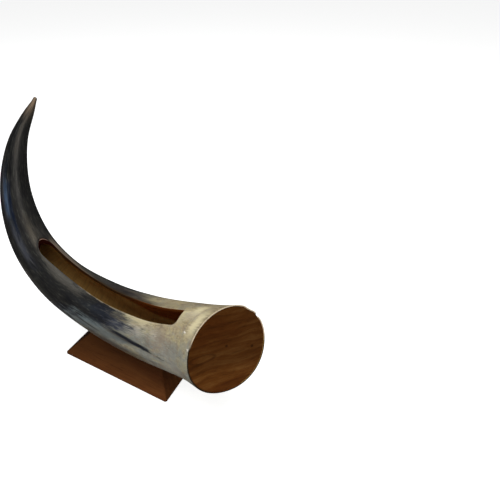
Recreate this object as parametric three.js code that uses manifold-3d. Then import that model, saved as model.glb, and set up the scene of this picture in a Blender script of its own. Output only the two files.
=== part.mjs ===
import * as THREE from 'three';
import Module from 'manifold-3d';
import { ConvexGeometry } from 'three/addons/geometries/ConvexGeometry.js';
import { mergeVertices } from 'three/addons/utils/BufferGeometryUtils.js';

// Polished bull horn lying on a bevelled wood block, in millimetres.
// The origin is the centre of the block's underside, +Z is up and +X runs from there towards the horn's mouth.

// The horn's centre line, from the middle of the mouth to the middle of the tip.
const CENTRE_LINE = [
  [136.5, -10, 93.5],
  [95, -3.5, 77],
  [30, -1.5, 64.5],
  [-36.5, 1, 63.5],
  [-94.5, -1, 86],
  [-134.5, 4, 124.5],
  [-160, 21.5, 174],
  [-170.5, 51, 222],
  [-173, 94, 261],
];

// The horn's radius: a body that tapers to the tip, and a flare that dies out behind the mouth.
const BODY_RADIUS = 38.7;
const TAPER_START = 1.6;
const TAPER_END = 0.79;
const FLARE = 6.5;
const FLARE_LENGTH = 36.5;
const TIP_RADIUS = 1.7;

// The mouth is a slightly uneven oval, wider than it is high.
// Its plane leans away from square to the centre line.
const MOUTH_NORMAL = [0.852, -0.295, 0.433];
const MOUTH_WIDEN = 1.09;
const MOUTH_FLATTEN = 0.925;
const MOUTH_SKEW = -0.02;
const MOUTH_EGG = -0.015;
const MOUTH_SQUARE = 0.0055;
const OVAL_FADE = 50;
const LEAN_FADE = 90;

// The hollow: a thin wall at the rim, a thicker one along the slot, and a rounded end inside the solid tip.
const RIM_WALL = 1.9;
const BODY_WALL = 3.2;
const END_WALL = 4;
const RIM_WALL_LENGTH = 30;
const HOLLOW_LENGTH = 318;
const HOLLOW_END_ROUND = 42;

// The slot, cut straight down through the upper wall.
// Its middle line runs in plan from its square end by the mouth to the centre of its round end.
const SLOT_LINE = [
  [82.3, -11.8],
  [50, -11.4],
  [5, -7.3],
  [-40, -1.6],
  [-80, 0.9],
  [-103.5, 0.8],
];
const SLOT_MOUTH_WIDTH = 17.8;
const SLOT_TIP_WIDTH = 19.4;
const SLOT_CORNER = 4.5;
const SLOT_FLOOR = 80;
const SLOT_TOP = 160;

// The wood disc that closes the mouth.
const DISC_THICKNESS = 12;
const DISC_RECESS = 0.4;
const FIT_GAP = 0.3;

// The block: a rectangle with a low upright edge and four sloping sides.
const BLOCK_LENGTH = 150;
const BLOCK_WIDTH = 80;
const BLOCK_HEIGHT = 30;
const BLOCK_EDGE = 2;
const BLOCK_END_INSET = 31;
const BLOCK_SIDE_INSET = 37;
const BLOCK_CORNER = 1.2;

const up = new THREE.Vector3(0, 0, 1);
const line = new THREE.CatmullRomCurve3(
  CENTRE_LINE.map((point) => new THREE.Vector3(...point)),
  false,
  'centripetal'
);
line.arcLengthDivisions = 600;
const hornLength = line.getLength();

const wasm = await Module();
wasm.setup();

function fade(distance, reach) {
  return 1 - THREE.MathUtils.smoothstep(distance, 0, reach);
}

// How far the mouth's edge swings in and out of the plain oval, as a part of its radius.
function mouthWave(angle) {
  const skew = MOUTH_SKEW * Math.sin(2 * angle);
  const egg = MOUTH_EGG * Math.cos(3 * angle);
  const square = MOUTH_SQUARE * Math.sin(4 * angle);
  return skew + egg + square;
}

function hornRadius(distance) {
  const along = THREE.MathUtils.clamp(distance / hornLength, 0, 1);
  const body = BODY_RADIUS * (1 - along ** TAPER_START) ** TAPER_END;
  const flare = FLARE * Math.exp(-distance / FLARE_LENGTH);
  return Math.hypot(body + flare, TIP_RADIUS);
}

function wall(distance) {
  const rim = (RIM_WALL - BODY_WALL) * fade(distance, RIM_WALL_LENGTH);
  const end = (END_WALL - BODY_WALL) * THREE.MathUtils.smoothstep(distance, 150, HOLLOW_LENGTH);
  return BODY_WALL + rim + end;
}

// The centre line at a distance from the mouth, carried straight on past both ends.
function place(distance) {
  const inside = THREE.MathUtils.clamp(distance / hornLength, 0, 1);
  const tangent = line.getTangentAt(inside);
  const centre = line.getPointAt(inside);
  centre.addScaledVector(tangent, distance - inside * hornLength);
  return { centre, tangent };
}

// One closed skin along the horn. Each ring has a distance from the mouth and a radius.
// The rings lean with the mouth's plane near the mouth and are square to the centre line beyond it.
function skin(rings, sides) {
  const mouthNormal = new THREE.Vector3(...MOUTH_NORMAL).normalize();
  const across = new THREE.Vector3().crossVectors(up, mouthNormal).normalize();
  const points = [];
  let lastCentre = null;
  for (const { distance, radius } of rings) {
    const { centre, tangent } = place(distance);
    const normal = tangent.clone().negate().lerp(mouthNormal, fade(distance, LEAN_FADE)).normalize();
    across.addScaledVector(normal, -across.dot(normal)).normalize();
    const over = new THREE.Vector3().crossVectors(normal, across);
    const oval = fade(distance, OVAL_FADE);
    const wide = radius * (1 + (MOUTH_WIDEN - 1) * oval);
    const high = radius * (1 + (MOUTH_FLATTEN - 1) * oval);
    for (let side = 0; side < sides; side += 1) {
      const angle = (side / sides) * Math.PI * 2;
      const uneven = 1 + mouthWave(angle) * oval;
      const point = centre.clone();
      point.addScaledVector(across, wide * uneven * Math.cos(angle));
      point.addScaledVector(over, high * uneven * Math.sin(angle));
      points.push(point);
    }
    lastCentre = centre;
  }
  const firstCentre = place(rings[0].distance).centre;
  const indices = [];
  for (let ring = 0; ring < rings.length - 1; ring += 1) {
    for (let side = 0; side < sides; side += 1) {
      const a = ring * sides + side;
      const b = ring * sides + ((side + 1) % sides);
      indices.push(a, a + sides, b);
      indices.push(b, a + sides, b + sides);
    }
  }
  const first = points.length;
  const last = first + 1;
  points.push(firstCentre, lastCentre);
  const end = (rings.length - 1) * sides;
  for (let side = 0; side < sides; side += 1) {
    const next = (side + 1) % sides;
    indices.push(first, side, next);
    indices.push(last, end + next, end + side);
  }
  const geometry = new THREE.BufferGeometry();
  geometry.setAttribute('position', new THREE.Float32BufferAttribute(points.flatMap((p) => p.toArray()), 3));
  geometry.setIndex(indices);
  return geometry;
}

// The outside, drawn at its own size or grown, with a round end past the centre line's last point.
function outside(grow, steps, sides) {
  const rings = [];
  for (let step = 0; step <= steps; step += 1) {
    const distance = (step / steps) * hornLength;
    rings.push({ distance, radius: hornRadius(distance) + grow });
  }
  const end = TIP_RADIUS + grow;
  for (const angle of [30, 55, 75]) {
    const turn = THREE.MathUtils.degToRad(angle);
    rings.push({ distance: hornLength + end * Math.sin(turn) * 0.8, radius: end * Math.cos(turn) });
  }
  return skin(rings, sides);
}

// The hollow, which starts a little outside the mouth so that it cuts the mouth open.
function hollow(steps, sides) {
  const rings = [];
  const start = -3;
  const roundStart = HOLLOW_LENGTH - HOLLOW_END_ROUND;
  for (let step = 0; step <= steps; step += 1) {
    const distance = start + (step / steps) * (roundStart - start);
    rings.push({ distance, radius: hornRadius(distance) - wall(distance) });
  }
  for (const angle of [20, 40, 60, 75]) {
    const turn = THREE.MathUtils.degToRad(angle);
    const distance = roundStart + HOLLOW_END_ROUND * Math.sin(turn);
    rings.push({ distance, radius: (hornRadius(distance) - wall(distance)) * Math.cos(turn) });
  }
  return skin(rings, sides);
}

// The slot's two long edges, its round end, and its square end with one rounded corner.
function slotBody() {
  const steps = 24;
  const middle = new THREE.CatmullRomCurve3(
    SLOT_LINE.map(([x, y]) => new THREE.Vector3(x, y, 0)),
    false,
    'centripetal'
  );
  const from = (at, forward, sideways) => {
    const point = middle.getPointAt(at);
    const ahead = middle.getTangentAt(at);
    const aside = new THREE.Vector3(ahead.y, -ahead.x, 0);
    point.addScaledVector(ahead, forward).addScaledVector(aside, sideways);
    return new THREE.Vector2(point.x, point.y);
  };
  const far = [];
  const near = [];
  for (let step = 0; step <= steps; step += 1) {
    const at = step / steps;
    const half = THREE.MathUtils.lerp(SLOT_MOUTH_WIDTH, SLOT_TIP_WIDTH, at) / 2;
    far.push(from(at, 0, half));
    if (step > 0) near.unshift(from(at, 0, -half));
  }
  const roundEnd = [];
  for (let step = 1; step < 12; step += 1) {
    const turn = (step / 12) * Math.PI;
    const half = SLOT_TIP_WIDTH / 2;
    roundEnd.push(from(1, half * Math.sin(turn), half * Math.cos(turn)));
  }
  const corner = [];
  const cornerMiddle = -SLOT_MOUTH_WIDTH / 2 + SLOT_CORNER;
  for (let step = 0; step <= 5; step += 1) {
    const turn = (step / 5) * (Math.PI / 2);
    const forward = SLOT_CORNER * (1 - Math.sin(turn));
    corner.push(from(0, forward, cornerMiddle - SLOT_CORNER * Math.cos(turn)));
  }
  const shape = new THREE.Shape([...far, ...roundEnd, ...near, ...corner]);
  const geometry = new THREE.ExtrudeGeometry(shape, {
    depth: SLOT_TOP - SLOT_FLOOR,
    bevelEnabled: false,
  });
  geometry.translate(0, 0, SLOT_FLOOR);
  return geometry;
}

function disc() {
  const rings = [DISC_RECESS, DISC_THICKNESS * 0.5, DISC_THICKNESS].map((distance) => ({
    distance,
    radius: hornRadius(distance) - wall(distance) - FIT_GAP,
  }));
  return skin(rings, 40);
}

// The block before the horn's underside is cut out of its top: a level at each height, each with cut corners.
function blockBody() {
  const slopeHeight = BLOCK_HEIGHT - BLOCK_EDGE;
  const levels = [
    { z: 0, endInset: 0, sideInset: 0 },
    { z: BLOCK_EDGE, endInset: 0, sideInset: 0 },
    {
      z: BLOCK_HEIGHT,
      endInset: (BLOCK_END_INSET * slopeHeight) / BLOCK_HEIGHT,
      sideInset: (BLOCK_SIDE_INSET * slopeHeight) / BLOCK_HEIGHT,
    },
  ];
  const points = [];
  for (const { z, endInset, sideInset } of levels) {
    const x = BLOCK_LENGTH / 2 - endInset;
    const y = BLOCK_WIDTH / 2 - sideInset;
    for (const [signX, signY] of [[1, 1], [-1, 1], [-1, -1], [1, -1]]) {
      points.push(new THREE.Vector3(signX * (x - BLOCK_CORNER), signY * y, z));
      points.push(new THREE.Vector3(signX * x, signY * (y - BLOCK_CORNER), z));
    }
  }
  return new ConvexGeometry(points);
}

function solidOf(geometry) {
  const bare = geometry.clone();
  bare.deleteAttribute('normal');
  bare.deleteAttribute('uv');
  const merged = mergeVertices(bare, 1e-4);
  return new wasm.Manifold(
    new wasm.Mesh({
      numProp: 3,
      vertProperties: new Float32Array(merged.attributes.position.array),
      triVerts: new Uint32Array(merged.index.array),
    })
  );
}

function piece(name, solid, colour, roughness) {
  const mesh = solid.getMesh();
  const geometry = new THREE.BufferGeometry();
  geometry.setAttribute('position', new THREE.Float32BufferAttribute(mesh.vertProperties, 3));
  geometry.setIndex(Array.from(mesh.triVerts));
  geometry.computeVertexNormals();
  const material = new THREE.MeshStandardMaterial({ color: colour, roughness, metalness: 0 });
  const object = new THREE.Mesh(geometry, material);
  object.name = name;
  return object;
}

const hornSolid = solidOf(outside(0, 42, 40))
  .subtract(solidOf(hollow(30, 40)))
  .subtract(solidOf(slotBody()));
const blockSolid = solidOf(blockBody()).subtract(solidOf(outside(FIT_GAP, 42, 40)));

const model = new THREE.Group();
model.add(piece('horn', hornSolid, 0x7d7466, 0.35));
model.add(piece('mouth_disc', solidOf(disc()), 0x6b4323, 0.5));
model.add(piece('stand_block', blockSolid, 0x6a3418, 0.5));

export default model;
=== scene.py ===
"""The looks of a polished bull horn that lies on a bevelled wood block.

The horn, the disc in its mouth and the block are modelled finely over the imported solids,
in the same frame: +Z is up, and +X runs along the block towards the horn's mouth.
Shapes are worked out in millimetres and turned into metres when a mesh is made.
Angles round the horn are in degrees: 0 is the far side, 90 the top, 180 the near side
and 270 the underside. Distances along the horn are measured from its mouth.
"""
import logging
import math
from collections.abc import Callable
from dataclasses import dataclass, field
from enum import Enum
from functools import reduce

import bpy
import numpy as np
from mathutils import Matrix, Vector
from mathutils.geometry import delaunay_2d_cdt

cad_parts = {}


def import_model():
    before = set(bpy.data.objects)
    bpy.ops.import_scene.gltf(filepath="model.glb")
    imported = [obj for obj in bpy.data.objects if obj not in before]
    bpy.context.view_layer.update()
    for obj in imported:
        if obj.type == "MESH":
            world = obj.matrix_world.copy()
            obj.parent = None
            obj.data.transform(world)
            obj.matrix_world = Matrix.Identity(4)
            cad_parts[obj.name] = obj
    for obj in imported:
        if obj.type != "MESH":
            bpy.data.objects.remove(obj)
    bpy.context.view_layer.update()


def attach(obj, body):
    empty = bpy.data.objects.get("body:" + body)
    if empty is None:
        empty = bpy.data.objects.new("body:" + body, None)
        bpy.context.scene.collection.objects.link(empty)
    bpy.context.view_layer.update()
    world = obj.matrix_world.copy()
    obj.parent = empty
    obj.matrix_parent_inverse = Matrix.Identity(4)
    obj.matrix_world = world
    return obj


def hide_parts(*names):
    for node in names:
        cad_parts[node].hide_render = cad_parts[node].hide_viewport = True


LOG = logging.getLogger("bull_horn")
MM = 0.001
BODY = "root"

Array = np.ndarray
Pair = tuple[float, float]
Triple = tuple[float, float, float]
Colour = tuple[float, float, float, float]
RadiusRule = Callable[[Array], Array]
Piece = bpy.types.Object
Mesh = bpy.types.Mesh
Material = bpy.types.Material
NodeTree = bpy.types.NodeTree
Node = bpy.types.Node
Socket = bpy.types.NodeSocket


class Part(Enum):
    """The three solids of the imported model, by node name."""

    HORN = "horn"
    DISC = "mouth_disc"
    BLOCK = "stand_block"


class HornSide(Enum):
    """The kinds of surface that one horn shows, and their material slots."""

    SKIN = 0
    CUT = 1
    INSIDE = 2


def srgb(red: int, green: int, blue: int) -> Colour:
    """Turns a colour as seen on a screen into the linear one that a shader takes.

    Args:
        red: Red, 0 to 255.
        green: Green, 0 to 255.
        blue: Blue, 0 to 255.

    Returns:
        The linear colour with full alpha.
    """

    def linear(level: int) -> float:
        """Undoes the screen curve on one channel."""
        value = level / 255
        return value / 12.92 if value <= 0.04045 else ((value + 0.055) / 1.055) ** 2.4

    return (linear(red), linear(green), linear(blue), 1.0)


def smoothstep(value: Array, low: float, high: float) -> Array:
    """Eases from 0 at the low value to 1 at the high one."""
    step = np.clip((value - low) / (high - low), 0, 1)
    return step * step * (3 - 2 * step)


def unit(vectors: Array) -> Array:
    """Scales each row to length 1."""
    return vectors / np.linalg.norm(vectors, axis=-1, keepdims=True)


# Shapes, all in millimetres


@dataclass
class SmoothLine:
    """A centripetal Catmull-Rom curve, read by the share of its length."""

    points: tuple[tuple[float, ...], ...]
    divisions: int = 600
    _at: Array = field(init=False, repr=False)
    _lengths: Array = field(init=False, repr=False)

    def __post_init__(self) -> None:
        """Measures the curve once."""
        self._at = np.linspace(0, 1, self.divisions + 1)
        steps = np.linalg.norm(np.diff(self._raw(self._at), axis=0), axis=1)
        self._lengths = np.concatenate([[0.0], np.cumsum(steps)])

    @property
    def length(self) -> float:
        """The curve's length."""
        return float(self._lengths[-1])

    def _raw(self, at: Array) -> Array:
        """Places points by the curve's own parameter.

        Args:
            at: Parameters from 0 to 1.

        Returns:
            One row of coordinates for each parameter.
        """
        knots = np.array(self.points, dtype=float)
        knots = np.vstack([2 * knots[0] - knots[1], knots, 2 * knots[-1] - knots[-2]])
        spans = len(self.points) - 1
        scaled = np.clip(at, 0, 1) * spans
        span = np.minimum(scaled.astype(int), spans - 1)
        share = (scaled - span)[:, None]
        p0, p1, p2, p3 = (knots[span + shift] for shift in range(4))
        d0, d1, d2 = (
            np.linalg.norm(b - a, axis=1, keepdims=True) ** 0.5
            for a, b in ((p0, p1), (p1, p2), (p2, p3))
        )
        leave = ((p1 - p0) / d0 - (p2 - p0) / (d0 + d1) + (p2 - p1) / d1) * d1
        arrive = ((p2 - p1) / d1 - (p3 - p1) / (d1 + d2) + (p3 - p2) / d2) * d1
        square = -3 * p1 + 3 * p2 - 2 * leave - arrive
        cube = 2 * p1 - 2 * p2 + leave + arrive
        return p1 + leave * share + square * share**2 + cube * share**3

    def read(self, share: Array) -> tuple[Array, Array]:
        """Gives places and directions along the curve.

        Args:
            share: Shares of the curve's length, 0 to 1.

        Returns:
            The points, and the unit tangents there.
        """
        at = np.interp(np.clip(share, 0, 1) * self.length, self._lengths, self._at)
        small = 1e-4
        before = self._raw(np.clip(at - small, 0, 1))
        after = self._raw(np.clip(at + small, 0, 1))
        return self._raw(at), unit(after - before)


@dataclass
class HornShape:
    """The horn's outside and its hollow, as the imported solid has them."""

    centre_line: tuple[Triple, ...] = (
        (136.5, -10, 93.5), (95, -3.5, 77), (30, -1.5, 64.5), (-36.5, 1, 63.5), (-94.5, -1, 86),
        (-134.5, 4, 124.5), (-160, 21.5, 174), (-170.5, 51, 222), (-173, 94, 261),
    )
    body_radius: float = 38.7
    taper_start: float = 1.6
    taper_end: float = 0.79
    flare: float = 6.5
    flare_length: float = 36.5
    tip_radius: float = 2.2
    swells: tuple[Triple, ...] = ((455, 15, 0.7), (345, 45, -0.35))
    mouth_normal: Triple = (0.852, -0.295, 0.433)
    mouth_widen: float = 0.09
    mouth_flatten: float = -0.075
    mouth_skew: float = -0.02
    mouth_egg: float = -0.015
    mouth_square: float = 0.0055
    mouth_dents: tuple[Triple, ...] = ((36.5, 7, 0.021), (-6, 14, -0.008))
    dent_fade: float = 14
    oval_fade: float = 50
    lean_fade: float = 90
    rim_wall: float = 1.2
    body_wall: float = 3.2
    end_wall: float = 4.0
    end_wall_start: float = 150
    rim_wall_length: float = 30
    hollow_length: float = 318
    hollow_round: float = 42
    margin: float = 6
    search_turns: int = 30
    longest_move: float = 6
    widest_swing: float = 8
    line: SmoothLine = field(init=False, repr=False)
    _table: dict[str, Array] = field(init=False, repr=False)

    def __post_init__(self) -> None:
        """Carries the ring directions along the centre line, 1 mm at a time."""
        self.line = SmoothLine(self.centre_line)
        reach = self.length + self.margin
        distances = np.arange(-self.margin, reach + 0.5, 1.0)
        inside = np.clip(distances, 0, self.length)
        centre, tangent = self.line.read(inside / self.length)
        centre = centre + tangent * (distances - inside)[:, None]
        mouth = unit(np.array(self.mouth_normal))
        lean = 1 - smoothstep(distances, 0, self.lean_fade)
        normal = unit(-tangent + (mouth + tangent) * lean[:, None])
        across = unit(np.cross((0.0, 0.0, 1.0), mouth))
        sideways = np.zeros_like(normal)
        for row, facing in enumerate(normal):
            across = unit(across - facing * across.dot(facing))
            sideways[row] = across
        over = np.cross(normal, sideways)
        self._table = {"at": distances, "centre": centre, "across": sideways, "over": over}

    @property
    def length(self) -> float:
        """The length of the centre line."""
        return self.line.length

    def radius(self, distance: Array) -> Array:
        """The outside's radius.

        Args:
            distance: Distances from the mouth.

        Returns:
            The radius at each.
        """
        along = np.clip(distance / self.length, 0, 1)
        body = self.body_radius * (1 - along**self.taper_start) ** self.taper_end
        for middle, reach, height in self.swells:
            body = body + height * np.exp(-(((distance - middle) / reach) ** 2))
        return np.hypot(body + self.flare * np.exp(-distance / self.flare_length), self.tip_radius)

    def wall(self, distance: Array) -> Array:
        """The wall's thickness.

        Args:
            distance: Distances from the mouth.

        Returns:
            The thickness at each.
        """
        rim = (self.rim_wall - self.body_wall) * (1 - smoothstep(distance, 0, self.rim_wall_length))
        deeper = smoothstep(distance, self.end_wall_start, self.hollow_length)
        end = (self.end_wall - self.body_wall) * deeper
        return self.body_wall + rim + end

    def hollow_radius(self, distance: Array) -> Array:
        """The hollow's radius, with its round end."""
        past = np.clip((distance - self.hollow_length + self.hollow_round) / self.hollow_round, 0, 1)
        return (self.radius(distance) - self.wall(distance)) * np.sqrt(1 - past**2)

    def row(self, name: str, distance: Array) -> Array:
        """Reads the tabled vectors "centre", "across" or "over" at some distances."""
        table = self._table[name]
        return np.stack([np.interp(distance, self._table["at"], table[:, i]) for i in range(3)], -1)

    def outward(self, distance: Array, angle: Array) -> Array:
        """The direction away from the centre line at an angle round the horn.

        Args:
            distance: Distances from the mouth.
            angle: Angles round the horn.

        Returns:
            A direction for each.
        """
        turn = np.radians(angle)[:, None]
        across, over = self.row("across", distance), self.row("over", distance)
        return unit(across * np.cos(turn) + over * np.sin(turn))

    def place(self, distance: Array, angle: Array, radius: Array) -> Array:
        """Places points on a skin round the centre line.

        Args:
            distance: Distances from the mouth.
            angle: Angles round the horn in degrees.
            radius: The skin's radius before the mouth's oval.

        Returns:
            One point for each distance.
        """
        turn = np.radians(angle)
        oval = 1 - smoothstep(distance, 0, self.oval_fade)
        wave = (
            self.mouth_skew * np.sin(2 * turn)
            + self.mouth_egg * np.cos(3 * turn)
            + self.mouth_square * np.sin(4 * turn)
        )
        dents = sum(
            depth * np.exp(-(((angle - middle) / wide) ** 4)) for middle, wide, depth in self.mouth_dents
        )
        uneven = radius * (1 + wave * oval - dents * (1 - smoothstep(distance, 0, self.dent_fade)))
        wide = uneven * (1 + self.mouth_widen * oval) * np.cos(turn)
        high = uneven * (1 + self.mouth_flatten * oval) * np.sin(turn)
        across, over = self.row("across", distance), self.row("over", distance)
        return self.row("centre", distance) + across * wide[:, None] + over * high[:, None]

    def drop(self, plan: Array, radius_of: RadiusRule, angle: float) -> tuple[Array, Array]:
        """Finds where vertical lines meet a skin.

        Args:
            plan: The lines' places seen from above, one row of x and y each.
            radius_of: The skin's radius as a function of distance.
            angle: The angle round the horn from which the search starts, 90 or 270.

        Returns:
            The distance from the mouth and the angle of each meeting point.
        """
        centre = self._table["centre"][:, :2]
        nearest = np.argmin(((plan[:, None] - centre[None]) ** 2).sum(-1), axis=1)
        distance = self._table["at"][nearest].astype(float)
        around = np.full(len(plan), angle)
        small, flat = 0.02, 1e-6

        def seen(along: Array, turn: Array) -> Array:
            """The skin's point from above."""
            return self.place(along, turn, radius_of(along))[:, :2]

        for _ in range(self.search_turns):
            here = seen(distance, around)
            by_distance = (seen(distance + small, around) - here) / small
            by_angle = (seen(distance, around + small) - here) / small
            miss = plan - here
            area = by_distance[:, 0] * by_angle[:, 1] - by_distance[:, 1] * by_angle[:, 0]
            area = np.where(np.abs(area) < flat, flat, area)
            move = (miss[:, 0] * by_angle[:, 1] - miss[:, 1] * by_angle[:, 0]) / area
            swing = (by_distance[:, 0] * miss[:, 1] - by_distance[:, 1] * miss[:, 0]) / area
            distance = distance + np.clip(move, -self.longest_move, self.longest_move)
            around = around + np.clip(swing, -self.widest_swing, self.widest_swing)
        return distance, around


@dataclass
class SlotShape:
    """The slot seen from above, from its square mouth end to its round tip end."""

    middle_line: tuple[Pair, ...] = (
        (82.3, -11.8), (50, -11.4), (5, -7.3), (-40, -1.6), (-80, 0.9), (-103.5, 0.8),
    )
    mouth_width: float = 17.8
    tip_width: float = 19.4
    corner: float = 4.5
    corner_share: float = 1.25
    side_steps: int = 130
    round_steps: int = 28
    corner_steps: int = 7
    end_steps: int = 9
    line: SmoothLine = field(init=False, repr=False)

    def __post_init__(self) -> None:
        """Draws the middle line."""
        self.line = SmoothLine(self.middle_line)

    def _from(self, at: Array, forward: Array, sideways: Array) -> Array:
        """Steps off the middle line.

        Args:
            at: Shares of the middle line's length.
            forward: Steps towards the tip.
            sideways: Steps towards the far side.

        Returns:
            One x and y for each step.
        """
        point, ahead = self.line.read(at)
        aside = np.stack([ahead[:, 1], -ahead[:, 0]], -1)
        return point + ahead * forward[:, None] + aside * sideways[:, None]

    def outline(self, grow: float) -> Array:
        """The slot's closed outline.

        Args:
            grow: How far the outline stands outside the cut.

        Returns:
            The points in order: far edge, round end, near edge, corner, mouth end.
        """
        start = self.corner / self.line.length * self.corner_share
        far_at = np.linspace(0, 1, self.side_steps)
        near_at = np.linspace(1, start, self.side_steps)
        half = (self.mouth_width + (self.tip_width - self.mouth_width) * far_at) / 2 + grow
        near_half = (self.mouth_width + (self.tip_width - self.mouth_width) * near_at) / 2 + grow
        far = self._from(far_at, np.where(far_at == 0, -grow, 0.0), half)
        near = self._from(near_at, np.zeros_like(near_at), -near_half)
        turn = np.linspace(0, np.pi, self.round_steps)[1:-1]
        round_end = self._from(np.ones_like(turn), half[-1] * np.sin(turn), half[-1] * np.cos(turn))
        bend = np.linspace(0, np.pi / 2, self.corner_steps)
        centre = -self.mouth_width / 2 + self.corner
        reach = self.corner + grow
        corner = self._from(
            np.zeros_like(bend), self.corner - reach * np.sin(bend), centre - reach * np.cos(bend)
        )
        side = np.linspace(centre, half[0], self.end_steps)[1:-1]
        end = self._from(np.zeros_like(side), np.full_like(side, -grow), side)
        return np.vstack([far, round_end, near, corner, end])


@dataclass
class MeshSheet:
    """Vertices, faces and their marks, gathered before they become one mesh."""

    points: list[Array] = field(default_factory=list)
    grow: list[Array] = field(default_factory=list)
    outward: list[Array] = field(default_factory=list)
    outer: list[Array] = field(default_factory=list)
    faces: list[tuple[int, ...]] = field(default_factory=list)
    sides: list[int] = field(default_factory=list)
    edge: Array | None = None
    count: int = 0

    def add_points(
        self, points: Array, distance: Array, angle: Array, outward: Array, outer: float
    ) -> Array:
        """Adds vertices with their place on the horn.

        Args:
            points: Places in millimetres.
            distance: Distances from the mouth.
            angle: Angles round the horn in degrees.
            outward: Directions away from the centre line.
            outer: 1 on the outside, 0 on the inside, and between them across the wall.

        Returns:
            The new vertices' numbers.
        """
        turn = np.radians(angle)
        self.points.append(points)
        self.grow.append(np.stack([distance * MM, np.cos(turn), np.sin(turn)], -1))
        self.outward.append(outward)
        self.outer.append(np.full(distance.shape, outer))
        first = self.count
        self.count += len(points)
        return np.arange(first, self.count)

    def add_face(self, corners: tuple[int, ...], side: HornSide) -> None:
        """Adds one face."""
        self.faces.append(tuple(int(corner) for corner in corners))
        self.sides.append(side.value)

    def add_strip(self, first: Array, second: Array, side: HornSide) -> None:
        """Joins two closed rows of vertices with a strip of four-sided faces."""
        for corners in zip(first, second, np.roll(second, -1), np.roll(first, -1)):
            self.add_face(corners, side)

    def to_object(self, name: str) -> Piece:
        """Makes the mesh and its attributes, without the vertices that no face uses.

        Args:
            name: The object's name.

        Returns:
            The new object, in the scene.
        """
        points = np.vstack(self.points) * MM
        used = np.unique(np.concatenate([np.array(face) for face in self.faces]))
        new = np.full(len(points), -1)
        new[used] = np.arange(len(used))
        faces = [tuple(int(new[corner]) for corner in face) for face in self.faces]
        mesh = bpy.data.meshes.new(name)
        mesh.from_pydata(points[used].tolist(), [], faces)
        mesh.polygons.foreach_set("material_index", self.sides)
        for label, rows in (("grow", self.grow), ("outward", self.outward)):
            values = np.vstack(rows)[used].astype(np.float32)
            mesh.attributes.new(label, "FLOAT_VECTOR", "POINT").data.foreach_set("vector", values.ravel())
        outer = np.concatenate(self.outer)[used].astype(np.float32)
        mesh.attributes.new("outer", "FLOAT", "POINT").data.foreach_set("value", outer)
        if self.edge is not None:
            edge = self.edge[used].astype(np.float32)
            mesh.attributes.new("edge", "FLOAT", "POINT").data.foreach_set("value", edge)
        mesh.update()
        mesh.shade_smooth()
        return put_in_scene(name, mesh)


def put_in_scene(name: str, data: bpy.types.ID) -> Piece:
    """Puts a mesh, a light or a camera into the scene.

    Args:
        name: The object's name.
        data: What it shows.

    Returns:
        The object, at the origin.
    """
    piece = bpy.data.objects.new(name, data)
    bpy.context.scene.collection.objects.link(piece)
    return piece


def stand_for(piece: Piece, part: Part) -> None:
    """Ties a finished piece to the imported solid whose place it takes.

    Args:
        piece: The finished object.
        part: The solid that it replaces.
    """
    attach(piece, BODY)
    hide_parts(part.value)
    LOG.info("%s: %d vertices, %d faces", piece.name, len(piece.data.vertices), len(piece.data.polygons))


# Node trees


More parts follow.
